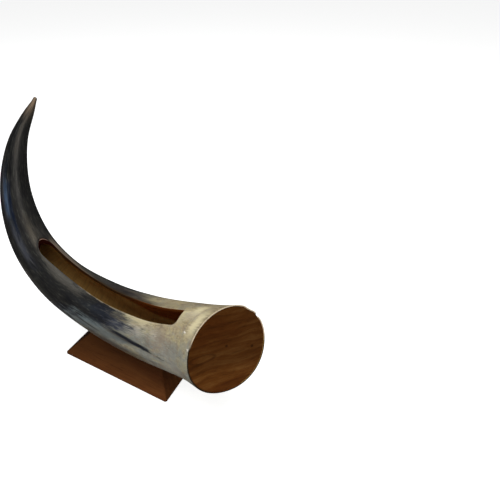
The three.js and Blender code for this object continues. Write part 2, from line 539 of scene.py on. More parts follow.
class Board:
    """A node tree, with short calls that place its nodes and wire them."""

    def __init__(self, tree: NodeTree) -> None:
        """Takes an empty tree."""
        self.tree = tree

    @staticmethod
    def material(name: str) -> tuple[Material, "Board", Node]:
        """Makes a material with one Principled shader.

        Args:
            name: The material's name.

        Returns:
            The material, its board and its shader node.
        """
        material = bpy.data.materials.new(name)
        material.use_nodes = True
        material.node_tree.nodes.clear()
        board = Board(material.node_tree)
        shader = board.node("ShaderNodeBsdfPrincipled")
        output = board.node("ShaderNodeOutputMaterial")
        board.tree.links.new(shader.outputs[0], output.inputs["Surface"])
        return material, board, shader

    def node(self, kind: str, **settings: object) -> Node:
        """Adds a node and sets its properties.

        Args:
            kind: The node's type in Blender.
            **settings: Its properties by name.

        Returns:
            The node.
        """
        node = self.tree.nodes.new(kind)
        for name, value in settings.items():
            setattr(node, name, value)
        return node

    def feed(self, socket: Socket, value: object) -> None:
        """Wires a socket to another one, or sets its own value."""
        if isinstance(value, Socket):
            self.tree.links.new(value, socket)
        else:
            socket.default_value = value

    def wire(self, node: Node, **values: object) -> None:
        """Feeds a node's inputs by name, with spaces written as underscores."""
        for name, value in values.items():
            self.feed(node.inputs[name.replace("_", " ")], value)

    def attribute(self, name: str) -> Node:
        """Reads a mesh attribute in a material."""
        return self.node("ShaderNodeAttribute", attribute_name=name)

    def split(self, vector: Socket) -> tuple[Socket, ...]:
        """Splits a vector into its three numbers.

        Args:
            vector: The vector.

        Returns:
            Its x, y and z.
        """
        node = self.node("ShaderNodeSeparateXYZ")
        self.feed(node.inputs[0], vector)
        return tuple(node.outputs)

    def join(self, x: object, y: object, z: object) -> Socket:
        """Joins three numbers into a vector.

        Args:
            x: The first number.
            y: The second.
            z: The third.

        Returns:
            The vector.
        """
        node = self.node("ShaderNodeCombineXYZ")
        for socket, value in zip(node.inputs, (x, y, z)):
            self.feed(socket, value)
        return node.outputs[0]

    def sum(self, kind: str, operation: str, *values: object) -> Node:
        """Adds one sum.

        Args:
            kind: The node's kind, for numbers or for vectors.
            operation: The operation's name in Blender.
            *values: Numbers, vectors or sockets, as many as the operation takes.

        Returns:
            The sum's node.
        """
        node = self.node(kind, operation=operation)
        for socket, value in zip(node.inputs, values):
            self.feed(socket, value)
        return node

    def math(self, operation: str, *values: object) -> Socket:
        """Works out a number from numbers."""
        return self.sum("ShaderNodeMath", operation, *values).outputs[0]

    def vector(self, operation: str, *values: object) -> Node:
        """Works out a vector, or one number from vectors."""
        return self.sum("ShaderNodeVectorMath", operation, *values)

    def times(self, *values: object) -> Socket:
        """Multiplies numbers."""
        return reduce(lambda a, b: self.math("MULTIPLY", a, b), values)

    def less(self, a: object, b: object) -> Socket:
        """Takes the second number from the first."""
        return self.math("SUBTRACT", a, b)

    def times_plus(self, a: object, b: object, c: object) -> Socket:
        """Multiplies two numbers and adds a third."""
        return self.math("MULTIPLY_ADD", a, b, c)

    def apart(self, a: object, b: object) -> Socket:
        """How far two numbers are apart."""
        return self.math("ABSOLUTE", self.less(a, b))

    def swayed(self, value: object, noise: Socket, reach: float) -> Socket:
        """Moves a number to and fro by a noise, half the reach each way at most."""
        return self.times_plus(self.less(noise, 0.5), reach, value)

    def scale(self, vector: object, by: Triple) -> Socket:
        """Stretches a vector by a fixed amount along each axis."""
        return self.vector("MULTIPLY", vector, by).outputs[0]

    def shift(self, vector: object, by: object) -> Socket:
        """Moves a vector."""
        return self.vector("ADD", vector, by).outputs[0]

    def noise(
        self, vector: object, scale: object, detail: float = 3.0, rough: float = 0.55, twist: float = 0.0
    ) -> Socket:
        """Adds a noise pattern.

        Args:
            vector: Where the pattern is read.
            scale: How many of its lumps fit into one unit.
            detail: How many finer layers it has.
            rough: How strong the finer layers are.
            twist: How far it is swirled.

        Returns:
            The pattern's value, about 0.5 on average.
        """
        node = self.node("ShaderNodeTexNoise")
        self.wire(node, Vector=vector, Scale=scale, Detail=detail, Roughness=rough, Distortion=twist)
        return node.outputs[0]

    def ease(
        self, value: object, low: object, high: object, start: object = 0.0, end: object = 1.0
    ) -> Socket:
        """Eases from one value to another while the input crosses a range.

        Args:
            value: The input.
            low: Where the range starts.
            high: Where it ends.
            start: The result at its start.
            end: The result at its end.

        Returns:
            The eased value.
        """
        node = self.node("ShaderNodeMapRange", interpolation_type="SMOOTHSTEP")
        for socket, item in zip(node.inputs, (value, low, high, start, end)):
            self.feed(socket, item)
        return node.outputs[0]

    def fade(self, value: object, low: object, high: object) -> Socket:
        """Eases from 1 to 0 while the input crosses a range."""
        return self.ease(value, low, high, 1.0, 0.0)

    def tint(self, colour: Socket, pattern: Socket, bands: tuple[tuple, ...]) -> Socket:
        """Lays tones over a colour by a pattern, each with its range, its strength and its colour."""
        for low, high, strength, tone in bands:
            colour = self.mix(self.ease(pattern, low, high, 0.0, strength), colour, tone)
        return colour

    def mix(self, share: object, a: object, b: object) -> Socket:
        """Mixes two colours.

        Args:
            share: How much of the second colour shows.
            a: The first colour.
            b: The second colour.

        Returns:
            The mixed colour.
        """
        node = self.node("ShaderNodeMix", data_type="RGBA")
        self.feed(node.inputs[0], share)
        self.feed(node.inputs[6], a)
        self.feed(node.inputs[7], b)
        return node.outputs[2]

    def ramp(self, value: object, stops: tuple[tuple[float, tuple], ...]) -> Socket:
        """Turns a value into a colour by fixed stops.

        Args:
            value: The value, 0 to 1.
            stops: The place and the colour of each stop.

        Returns:
            The colour.
        """
        node = self.node("ShaderNodeValToRGB")
        band = node.color_ramp
        band.elements[0].position, band.elements[0].color = stops[0]
        band.elements[1].position, band.elements[1].color = stops[-1]
        for place, colour in stops[1:-1]:
            band.elements.new(place).color = colour
        self.feed(node.inputs[0], value)
        return node.outputs[0]

    def curve(self, value: object, points: tuple[Pair, ...]) -> Socket:
        """Bends a value between 0 and 1 along a given curve.

        Args:
            value: The value, 0 to 1.
            points: The curve's points, from 0 to 1.

        Returns:
            The bent value.
        """
        node = self.node("ShaderNodeFloatCurve")
        line = node.mapping.curves[0]
        line.points[0].location = points[0]
        line.points[1].location = points[-1]
        for point in points[1:-1]:
            line.points.new(*point)
        node.mapping.update()
        self.feed(node.inputs["Value"], value)
        return node.outputs[0]

    def effect(self, tree: NodeTree, **values: object) -> Node:
        """Places a shared effect with its own values.

        Args:
            tree: The effect's node group.
            **values: The group's inputs, with spaces written as underscores.

        Returns:
            The group node.
        """
        node = self.node("ShaderNodeGroup", node_tree=tree)
        self.wire(node, **values)
        return node

    def bump(self, height: object, strength: float, distance: float) -> Socket:
        """Turns a height into a surface normal.

        Args:
            height: The height pattern.
            strength: How much of it shows.
            distance: The height of a step from 0 to 1, in metres.

        Returns:
            The normal.
        """
        node = self.node("ShaderNodeBump")
        self.wire(node, Strength=strength, Distance=distance, Height=height)
        return node.outputs[0]


class Effects:
    """The shader effects that several finishes share, each a node group that is built once."""

    def __init__(self) -> None:
        """Builds every group."""
        self.scratches = self._scratches()
        self.smudges = self._smudges()
        self.streak = self._streak()
        self.grain = self._grain()

    @staticmethod
    def _group(
        name: str, inputs: dict[str, float | None], outputs: tuple[str, ...]
    ) -> tuple[NodeTree, Board, Node, Node]:
        """Starts a node group.

        Args:
            name: The group's name.
            inputs: Each input's value by name. One without a value takes a vector.
            outputs: The names of its outputs, which are all numbers.

        Returns:
            The group, its board, its input node and its output node.
        """
        tree = bpy.data.node_groups.new(name, "ShaderNodeTree")
        for label, default in inputs.items():
            kind = "NodeSocketVector" if default is None else "NodeSocketFloat"
            socket = tree.interface.new_socket(name=label, in_out="INPUT", socket_type=kind)
            if default is not None:
                socket.default_value = default
        for label in outputs:
            tree.interface.new_socket(name=label, in_out="OUTPUT", socket_type="NodeSocketFloat")
        board = Board(tree)
        return tree, board, board.node("NodeGroupInput"), board.node("NodeGroupOutput")

    def _scratches(self) -> NodeTree:
        """Fine polishing scratches that run one way. Position is long along X.

        Returns:
            The group.
        """
        tree, board, given, result = self._group(
            "polishing_scratches",
            {"Position": None, "Density": 1.0},
            ("Height", "Mask"),
        )
        position = given.outputs["Position"]
        fine = board.noise(board.scale(position, (1.0, 30.0, 30.0)), 30.0, 2.0, 0.6)
        coarse = board.noise(board.scale(position, (1.0, 12.0, 12.0)), 22.0, 3.0, 0.65, 0.3)
        patch = board.noise(position, board.times(given.outputs["Density"], 18.0), 2.0)
        mask = board.times(board.ease(coarse, 0.58, 0.72), board.ease(patch, 0.42, 0.62))
        height = board.less(fine, board.times(mask, 0.7))
        board.wire(result, Height=height, Mask=mask)
        return tree

    def _smudges(self) -> NodeTree:
        """Soft patches of handling that change the gloss.

        Returns:
            The group.
        """
        tree, board, given, result = self._group(
            "handling_smudges",
            {"Position": None, "Scale": 20.0},
            ("Mask",),
        )
        position, size = given.outputs["Position"], given.outputs["Scale"]
        broad = board.noise(position, size, 3.0, 0.5, 0.4)
        fine = board.noise(position, board.times(size, 7.0), 3.0, 0.6)
        mask = board.ease(board.times_plus(fine, 0.35, board.times(broad, 0.75)), 0.42, 0.72)
        board.wire(result, Mask=mask)
        return tree

    def _streak(self) -> NodeTree:
        """One mark on the horn, drawn along its growth, with ragged ends and soft sides.

        Returns:
            The group.
        """
        tree, board, given, result = self._group(
            "growth_mark",
            {
                "along": 0.0,
                "around": 0.0,
                "wobble": 0.5,
                "start": 0.0,
                "end": 50.0,
                "first angle": 150.0,
                "last angle": 150.0,
                "half width": 5.0,
                "soft ends": 20.0,
                "soft sides": 3.0,
                "ragged": 0.0,
            },
            ("Mask",),
        )
        value = given.outputs
        start, end, ragged = value["start"], value["end"], value["ragged"]
        half, soft, first = value["half width"], value["soft sides"], value["first angle"]
        swing = board.less(value["wobble"], 0.5)
        along = board.times_plus(swing, board.times(ragged, 8.0), value["along"])
        share = board.math("DIVIDE", board.less(value["along"], start), board.less(end, start))
        middle = board.times_plus(share, board.less(value["last angle"], first), first)
        aside = board.times_plus(swing, ragged, board.apart(value["around"], middle))
        enter = board.ease(along, start, board.math("ADD", start, value["soft ends"]))
        leave = board.fade(along, board.less(end, value["soft ends"]), end)
        side = board.fade(aside, board.less(half, soft), board.math("ADD", half, soft))
        board.wire(result, Mask=board.times(enter, leave, side))
        return tree

    def _grain(self) -> NodeTree:
        """Teak grain: growth bands, fibres and short dark pores. Position is long along X.

        Returns:
            The group.
        """
        tree, board, given, result = self._group(
            "teak_grain",
            {"Position": None, "Band width": 0.006, "Waver": 0.004},
            ("Bands", "Lines", "Fibres", "Pores", "Cloud"),
        )
        position = given.outputs["Position"]
        _, y, z = board.split(position)
        sway = board.noise(board.scale(position, (5.0, 22.0, 22.0)), 1.0, 3.0, 0.5)
        drift = board.times(board.less(sway, 0.5), board.times(given.outputs["Waver"], 4.0))
        depth = board.math("ADD", board.math("SQRT", board.times_plus(y, y, board.times(z, z))), drift)
        position = board.shift(position, board.join(0.0, drift, drift))
        ring = board.math("FRACT", board.math("DIVIDE", depth, given.outputs["Band width"]))
        rise = board.ease(ring, 0.0, 0.78)
        fall = board.fade(ring, 0.86, 1.0)
        fibres = board.noise(board.scale(position, (22.0, 900.0, 900.0)), 1.0, 3.0, 0.6)
        pores = board.noise(board.scale(position, (95.0, 1500.0, 1500.0)), 1.0, 1.0, 0.5)
        dense = board.noise(board.scale(position, (12.0, 90.0, 90.0)), 1.0, 2.0)
        pores = board.times(board.ease(pores, 0.6, 0.7), board.ease(dense, 0.4, 0.6, 0.35, 1.0))
        cloud = board.noise(board.scale(position, (9.0, 55.0, 55.0)), 1.0, 4.0, 0.6, 0.4)
        lines = board.noise(board.scale(position, (16.0, 300.0, 300.0)), 1.0, 3.0, 0.6)
        bands = board.times(rise, fall)
        board.wire(result, Bands=bands, Lines=lines, Fibres=fibres, Pores=pores, Cloud=cloud)
        return tree


# Finishes


class Tone(Enum):
    """The colours that the marks on the horn are drawn in."""

    MILK = srgb(246, 238, 222)
    BONE = srgb(186, 180, 166)
    BUTTER = srgb(248, 235, 190)
    STRAW = srgb(204, 190, 146)
    ROSE_GREY = srgb(160, 142, 124)
    PALE_BLUE = srgb(126, 138, 140)
    MIST = srgb(96, 104, 106)
    GREEN_GREY = srgb(116, 119, 109)
    GREY_BROWN = srgb(120, 108, 86)
    OLIVE_BROWN = srgb(98, 82, 52)
    WARM_GREY = srgb(96, 92, 84)
    TIP_GREY = srgb(74, 67, 58)
    SLATE = srgb(88, 91, 102)
    STEEL_BLUE = srgb(64, 84, 112)
    NIGHT_BLUE = srgb(13, 26, 48)
    BROWN_BLACK = srgb(60, 47, 40)
    INK = srgb(34, 35, 43)
    BLACK = srgb(17, 17, 18)


@dataclass(frozen=True)
class Mark:
    """One streak, patch or fleck on the horn's skin; some marks are painted highlights, sheen, shade or a
    reflection.

    Distances are in millimetres from the mouth and angles in degrees round the horn.
    """

    start: float
    end: float
    first_angle: float
    last_angle: float
    half_width: float
    tone: Tone
    strength: float = 1.0
    soft_ends: float = 15.0
    soft_sides: float = 3.0
    ragged: float = 6.0

    def outline(self) -> dict[str, float]:
        """The values that the growth mark's group takes."""
        return {name: value for name, value in vars(self).items() if name not in ("tone", "strength")}


@dataclass(frozen=True)
class GrowthPlace:
    """Where a shaded point lies on the horn, as sockets of one material."""

    board: Board
    grow: Socket
    along: Socket
    around: Socket

    @staticmethod
    def read(board: Board) -> "GrowthPlace":
        """Reads the horn's own attribute.

        Args:
            board: The material's board.

        Returns:
            The place, its distance in millimetres and its angle in degrees.
        """
        grow = board.attribute("grow").outputs["Vector"]
        metres, side, top = board.split(grow)
        turn = board.math("DEGREES", board.math("ARCTAN2", side, top))
        return GrowthPlace(board, grow, board.times(metres, 1000.0), board.less(90.0, turn))

    def noise(self, along: float, around: float, detail: float = 4.0, twist: float = 0.0) -> Socket:
        """A noise with so many lumps in a metre along the growth, and so many in a radian round it."""
        stretched = self.board.scale(self.grow, (along, around, around))
        return self.board.noise(stretched, 1.0, detail, 0.6, twist)

    def flat(self, across: float) -> Socket:
        """The place as a run along the horn, for patterns that lie along X."""
        return self.board.scale(self.grow, (1.0, across, across))


@dataclass(frozen=True)
class HornSkin:
    """Polished horn: mottled cream at the mouth, streaked slate, and blue-black to a brown tip."""

    cream: Colour = srgb(190, 174, 136)
    yellow: Colour = srgb(205, 190, 138)
    pale: Colour = srgb(172, 166, 148)
    cool: Colour = srgb(150, 152, 144)
    pink: Colour = srgb(150, 130, 112)
    warm_grey: Colour = srgb(126, 119, 102)
    brown: Colour = srgb(94, 76, 50)
    milk: Colour = srgb(216, 206, 178)
    green_grey: Colour = srgb(124, 125, 112)
    slate: Colour = srgb(84, 87, 93)
    blue_black: Colour = srgb(33, 35, 44)
    charcoal: Colour = srgb(39, 38, 37)
    ink: Colour = srgb(20, 21, 26)
    brown_tip: Colour = srgb(140, 117, 93)
    worn_edge: Colour = srgb(206, 192, 162)
    cut_line: Colour = srgb(9, 7, 7)
    edge_shade: Colour = srgb(56, 44, 30)
    roughness: float = 0.3
    front: tuple[Pair, ...] = (
        (0.0, 0.475), (0.2, 0.36), (0.4, 0.31), (0.47, 0.315), (0.5, 0.285), (0.56, 0.3),
        (0.6, 0.298), (0.645, 0.29), (0.67, 0.275), (0.69, 0.29), (0.715, 0.39), (0.75, 0.45),
        (0.8, 0.48), (1.0, 0.475),
    )
    front_scale: float = 400.0
    marks: tuple[Mark, ...] = (
        # the streaked near side below the slot
        Mark(128, 186, 148, 146, 12, Tone.INK, 0.6, 26, 8, 16),
        Mark(138, 176, 134, 131, 8, Tone.INK, 0.55, 18, 6, 14),
        Mark(92, 140, 152, 151, 8, Tone.SLATE, 0.45, 24, 7, 16),
        Mark(117, 154, 133, 136, 8, Tone.INK, 0.65, 10, 6, 12),
        Mark(116, 146, 147, 147, 5, Tone.SLATE, 0.5, 12, 5, 12),
        Mark(102, 134, 140, 136, 3.5, Tone.OLIVE_BROWN, 0.4, 14, 3.5, 14),
        Mark(84, 146, 170, 172, 7, Tone.MIST, 0.7, 18, 5, 12),
        Mark(108, 210, 177, 179, 15, Tone.MIST, 0.7, 42, 8, 16),
        Mark(140, 204, 169, 169, 7, Tone.PALE_BLUE, 0.6, 30, 6, 20),
        Mark(160, 184, 170, 169, 3, Tone.PALE_BLUE, 0.5, 9, 3, 12),
        Mark(172, 208, 187, 187, 6, Tone.PALE_BLUE, 0.65, 18, 5, 14),
        # the next mark is painted shade and the block's painted brown reflection on the underside next to
        # the block
        Mark(62, 204, 213, 215, 26, Tone.BROWN_BLACK, 0.75, 46, 8, 16),
        Mark(204, 304, 194, 193, 10, Tone.WARM_GREY, 0.5, 36, 9, 10),
        Mark(124, 158, 162, 158, 3.5, Tone.INK, 0.4, 14, 3, 10),
        Mark(69, 138, 174.5, 161.0, 3.4, Tone.INK, 1.0, 12, 2.0, 6),
        Mark(98, 154, 172.5, 163.5, 2.2, Tone.BROWN_BLACK, 0.55, 16, 1.8, 5),
        Mark(148, 205, 179, 177, 1.7, Tone.INK, 0.7, 16, 1.5, 5),
        Mark(38, 51, 179, 181, 1.6, Tone.WARM_GREY, 0.7, 5, 1.5, 6),
        Mark(50, 68, 180, 177, 1.7, Tone.WARM_GREY, 0.85, 6, 1.4, 7),
        Mark(70, 78, 174.5, 173.5, 2.2, Tone.GREEN_GREY, 0.5, 4, 2, 5),
        Mark(278, 297, 131, 129, 2.2, Tone.BLACK, 0.5, 7, 2, 6),
        # flecks in the cream
        Mark(82, 128, 91, 86, 4.0, Tone.BROWN_BLACK, 0.5, 20, 3.4, 8),
        Mark(96, 108, 92, 91, 2.0, Tone.SLATE, 0.6, 5, 2.0, 6),
        Mark(93, 106, 138.0, 135.5, 2.2, Tone.OLIVE_BROWN, 0.75, 5, 1.6, 8),
        Mark(84, 92, 139.5, 138.5, 1.8, Tone.OLIVE_BROWN, 0.65, 4, 1.4, 6),
        Mark(78, 89, 130.5, 131.5, 2.4, Tone.OLIVE_BROWN, 0.9, 5, 1.4, 9),
        Mark(56, 70, 128, 129.5, 2.2, Tone.GREY_BROWN, 0.8, 5, 1.6, 8),
        Mark(46, 52, 152, 143, 2.0, Tone.GREY_BROWN, 0.6, 3, 2.2, 8),
        Mark(69.5, 73.5, 145.5, 145.5, 1.1, Tone.BROWN_BLACK, 0.85, 1.6, 0.7, 1),
        Mark(95, 101, 144, 144, 1.8, Tone.GREY_BROWN, 0.6, 3, 1.8, 5),
        Mark(27, 35, 104, 101, 2.2, Tone.GREY_BROWN, 0.6, 3, 2.0, 6),
        Mark(24, 34, 118, 111, 2.4, Tone.GREY_BROWN, 0.6, 4, 2.2, 8),
        Mark(32, 38, 117, 119, 2.2, Tone.GREY_BROWN, 0.55, 3, 2, 6),
        Mark(63, 79, 145, 144, 6, Tone.MILK, 0.3, 7, 6, 6),
        # the next mark is a painted highlight on the top by the mouth
        Mark(14, 34, 100, 98, 8, Tone.MILK, 0.25, 7, 8, 5),
        # light and rosy patches, among them painted highlights
        Mark(40, 78, 147, 147, 19, Tone.ROSE_GREY, 0.5, 14, 10, 10),
        # the next five marks are painted highlights on the yellow cream by the mouth
        Mark(0, 19, 111, 111, 17, Tone.BUTTER, 0.85, 8, 11, 2),
        Mark(13, 33, 89, 89, 9, Tone.BUTTER, 0.9, 9, 8, 2),
        Mark(29, 41, 98, 98, 3.4, Tone.BUTTER, 0.6, 4, 3, 5),
        Mark(33, 43, 108, 108, 14, Tone.STRAW, 0.55, 4, 6, 3),
        Mark(23, 44, 106, 110, 10, Tone.BUTTER, 0.3, 8, 8, 4),
        Mark(84, 112, 145, 145, 8, Tone.MILK, 0.3, 12, 6, 8),
        Mark(78, 104, 134, 134, 5, Tone.MILK, 0.2, 10, 4, 8),
        Mark(16, 54, 187, 187, 10, Tone.BONE, 0.4, 12, 8, 8),
        # the next two marks are painted highlights on the near side's cream
        Mark(72, 122, 126, 126, 4.5, Tone.BUTTER, 0.5, 16, 4, 8),
        Mark(80, 108, 133, 133, 5, Tone.STRAW, 0.5, 10, 4, 8),
        Mark(40, 94, 90, 88, 7, Tone.WARM_GREY, 0.3, 8, 6, 8),
        Mark(15.0, 19.8, 127.8, 126.2, 1.0, Tone.MILK, 1.0, 0.9, 0.5, 0),
        Mark(-1, 5.5, 145.5, 145.5, 1.3, Tone.MILK, 0.8, 1.6, 0.6, 2),
        Mark(12, 60, 170, 172, 14, Tone.BONE, 0.3, 14, 10, 8),
        # the dark length
        Mark(96, 300, 82, 60, 13, Tone.WARM_GREY, 0.5, 34, 8, 12),
        Mark(96, 122, 72, 68, 6, Tone.GREEN_GREY, 0.6, 12, 5, 10),
        Mark(112, 200, 79, 74, 8, Tone.INK, 0.4, 24, 6, 12),
        # the next three marks are painted sheen along the slot's near edge and on the top past its tip end
        Mark(184, 300, 122, 113, 7, Tone.WARM_GREY, 0.7, 30, 6, 8),
        Mark(190, 268, 131, 127, 5, Tone.WARM_GREY, 0.5, 24, 4, 10),
        Mark(266, 338, 114, 111, 9, Tone.GREY_BROWN, 0.25, 30, 8, 8),
        Mark(289, 318, 86, 86, 17, Tone.WARM_GREY, 0.3, 14, 8, 8),
        Mark(100, 178, 82, 75, 9, Tone.BROWN_BLACK, 0.45, 22, 6, 8),
        Mark(228, 294, 66, 66, 9, Tone.ROSE_GREY, 0.6, 14, 7, 6),
        Mark(340, 402, 92, 90, 15, Tone.BLACK, 0.5, 20, 7, 8),
        # the next mark is a painted highlight along the middle of the tip
        Mark(388, 460, 122, 128, 11, Tone.TIP_GREY, 0.6, 18, 8, 8),
        Mark(366, 456, 149, 154, 17, Tone.BLACK, 0.9, 14, 7, 8),
        Mark(320, 392, 172, 172, 6, Tone.SLATE, 0.3, 20, 6, 8),
        Mark(262, 330, 153, 156, 9, Tone.SLATE, 0.5, 24, 7, 10),
        # the next two marks are a painted reflection of a cool window, partly on a bluish streak of the
        # horn's own: light blue, with deep blue beside it
        Mark(324, 374, 161, 160, 8, Tone.STEEL_BLUE, 0.8, 14, 5, 6),
        Mark(300, 376, 146, 146, 5.5, Tone.NIGHT_BLUE, 0.85, 20, 4, 6),
    )

    def _light(self, place: GrowthPlace) -> Socket:
        """The cream end: yellow above and cool grey on the sides, partly its own tone and partly painted
        light, the sides standing in for a cooler light; mottled, ringed and flecked.

        Args:
            place: Where the point lies.

        Returns:
            Its colour.
        """
        board = place.board
        cloud = place.noise(34.0, 3.0, 3.0, 0.6)
        mottle = place.noise(120.0, 9.0, 2.0, 0.4)
        grainy = place.noise(280.0, 24.0, 3.0)
        rings = place.noise(95.0, 1.6, 3.0, 0.8)
        fleck = place.noise(130.0, 20.0, 3.0)
        # partly painted light: cream on top, cool grey on the sides where a cooler light falls
        upper = board.fade(board.apart(place.around, 96.0), 26.0, 68.0)
        colour = board.mix(upper, self.cool, self.cream)
        clouds = ((0.48, 0.62, 0.5, self.yellow), (0.47, 0.34, 0.55, self.warm_grey))
        colour = board.tint(colour, cloud, clouds)
        near_mouth = board.ease(place.along, 10.0, 75.0, 0.6, 0.1)
        for low, high, tone in ((0.5, 0.68, self.cool), (0.48, 0.32, self.pink)):
            colour = board.mix(board.times(board.ease(rings, low, high), near_mouth), colour, tone)
        colour = board.tint(colour, mottle, ((0.48, 0.68, 0.6, self.pink), (0.48, 0.3, 0.6, self.pale)))
        grains = ((0.5, 0.72, 0.3, self.warm_grey), (0.47, 0.3, 0.32, self.milk))
        colour = board.tint(colour, grainy, grains)
        return board.tint(colour, fleck, ((0.61, 0.73, 0.5, self.brown),))

    def _front(self, place: GrowthPlace) -> tuple[Socket, ...]:
        """How dark the horn has grown at a place.

        Args:
            place: Where the point lies.

        Returns:
            The darkness, the smoky wash ahead of it, both 0 to 1, and the fine streaks in them.
        """
        board = place.board
        streaks = place.noise(18.0, 8.0, 4.0, 0.2)
        ragged = place.noise(62.0, 13.0, 4.0, 0.6)
        hairs = place.noise(70.0, 60.0, 3.0)
        share = board.math("DIVIDE", board.math("ADD", place.around, 90.0), 360.0)
        front = board.times(board.curve(share, self.front), self.front_scale)
        past = board.swayed(board.less(place.along, front), streaks, 80.0)
        wash = board.ease(board.swayed(past, hairs, 50.0), -62.0, 24.0)
        past = board.swayed(board.swayed(past, ragged, 110.0), hairs, 55.0)
        return board.ease(past, -34.0, 62.0), wash, streaks

    def _edges(self, place: GrowthPlace, colour: Socket) -> Socket:
        """A painted highlight in broken spots along the slot's near edge, a pink band and painted shade
        along its far edge, and the dark line round its tip end.

        Args:
            place: Where the point lies.
            colour: The skin's colour there.

        Returns:
            The colour with the edges drawn in.
        """
        board, along, around = place.board, place.along, place.around
        gap = board.attribute("edge").outputs["Fac"]
        broken = board.ease(place.noise(90.0, 6.0, 3.0), 0.42, 0.6)
        # painted highlight on the rounding of the slot's near edge, broken into spots
        worn = (board.ease(along, 215.0, 190.0), broken, board.ease(around, 96.0, 104.0))
        soft = (board.ease(along, 190.0, 228.0), board.ease(around, 100.0, 92.0))
        shade = (
            board.ease(along, 210.0, 185.0),
            board.ease(along, 76.0, 100.0),
            board.ease(around, 102.0, 98.0),
        )
        beyond = (board.ease(along, 276.0, 284.0), board.ease(around, 70.0, 80.0))
        for low, high, where, strength, tone in (
            (0.2, 1.4, worn, 0.45, self.worn_edge),
            (0.6, 3.2, soft, 0.45, self.pink),
            (0.6, 4.5, shade, 0.75, self.edge_shade),
            (1.6, 2.6, beyond, 0.92, self.cut_line),
        ):
            share = board.times(board.fade(gap, low, high), *where, strength)
            colour = board.mix(share, colour, tone)
        return colour

    def build(self, effects: Effects) -> Material:
        """Makes the skin's material.

        Args:
            effects: The shared effects.

        Returns:
            The material.
        """
        material, board, shader = Board.material("horn_skin")
        place = GrowthPlace.read(board)
        fine = place.noise(80.0, 26.0, 5.0)
        light = self._light(place)
        dark, wash, streaks = self._front(place)
        depth = board.ramp(
            dark,
            ((0.0, self.green_grey), (0.34, self.slate), (0.68, self.blue_black), (1.0, self.charcoal)),
        )
        colour = board.mix(board.times(wash, 0.6), light, self.green_grey)
        colour = board.mix(board.ease(dark, 0.04, 0.62), colour, depth)
        for mark in self.marks:
            drawn = board.effect(
                effects.streak, along=place.along, around=place.around, wobble=fine, **mark.outline()
            )
            colour = board.mix(board.times(drawn.outputs[0], mark.strength), colour, mark.tone.value)
        tip = board.ease(board.swayed(place.along, streaks, 40.0), 436.0, 472.0)
        # the brown tip is strongest round 124 degrees: a painted highlight over the tip's own brown
        facing = board.ease(board.apart(place.around, 124.0), 12.0, 40.0, 1.0, 0.42)
        colour = board.mix(board.times(tip, facing), colour, self.brown_tip)
        dusty = board.ease(place.noise(110.0, 20.0, 5.0), 0.5, 0.74, 0.0, 0.3)
        colour = board.mix(board.times(dusty, dark), colour, self.green_grey)
        inky = board.ease(place.noise(46.0, 9.0, 5.0, 0.5), 0.5, 0.66, 0.0, 0.6)
        colour = board.mix(board.times(inky, dark), colour, self.ink)
        flat = place.flat(0.035)
        lines = board.effect(effects.scratches, Position=flat, Density=1.0)
        smudge = board.effect(effects.smudges, Position=flat, Scale=26.0)
        gloss = board.times_plus(smudge.outputs["Mask"], 0.12, self.roughness)
        gloss = board.times_plus(lines.outputs["Mask"], 0.1, gloss)
        relief = board.bump(lines.outputs["Height"], 0.3, 0.00008)
        board.wire(shader, Base_Color=self._edges(place, colour), Roughness=gloss, Normal=relief)
        return material


@dataclass(frozen=True)
class HornInside:
    """The unpolished hollow: golden olive brown with fine rings across it, redder under the slot's far lip
    with painted shade and painted light shining through the wall, and darker past the slot's tip end with
    painted shade.
    """

    olive: Colour = srgb(188, 148, 82)
    ginger: Colour = srgb(168, 96, 34)
    red: Colour = srgb(134, 60, 10)
    dark: Colour = srgb(116, 80, 36)
    maroon: Colour = srgb(92, 36, 12)
    light_line: Colour = srgb(206, 176, 110)
    roughness: float = 0.6
    gloss: float = 0.25

    def build(self, effects: Effects) -> Material:
        """Makes the hollow's material.

        Args:
            effects: The shared effects.

        Returns:
            The material.
        """
        material, board, shader = Board.material("horn_inside")
        place = GrowthPlace.read(board)
        rings = place.noise(520.0, 1.6, 3.0)
        broad = place.noise(34.0, 3.0, 4.0, 0.4)
        blotch = place.noise(52.0, 9.0, 3.0, 0.5)
        # painted shade and painted glow of light through the cream wall: redder under the slot's far lip,
        # in a wider band near the mouth
        reach = board.ease(place.along, 96.0, 215.0, -19.0, 4.0)
        under = board.ease(board.less(board.swayed(place.around, broad, 14.0), reach), -3.0, 6.0)
        colour = board.mix(under, self.olive, self.red)
        warm = board.times(board.ease(blotch, 0.46, 0.64), board.ease(place.around, -34.0, 14.0), 0.7)
        colour = board.mix(warm, colour, self.ginger)
        # painted shade: maroon past the slot's tip end, under the lip
        colour = board.mix(board.ease(place.along, 284.0, 302.0), colour, self.maroon)
        lines = ((0.45, 0.7, 0.3, self.dark), (0.36, 0.28, 0.3, self.light_line))
        colour = board.tint(colour, rings, lines)
        colour = board.tint(colour, broad, ((0.5, 0.72, 0.25, self.dark),))
        smudge = board.effect(effects.smudges, Position=place.flat(0.03), Scale=30.0)
        rough = board.times_plus(smudge.outputs["Mask"], 0.15, self.roughness)
        relief = board.bump(rings, 0.35, 0.0003)
        board.wire(shader, Base_Color=colour, Roughness=rough, Normal=relief, Specular_IOR_Level=self.gloss)
        return material


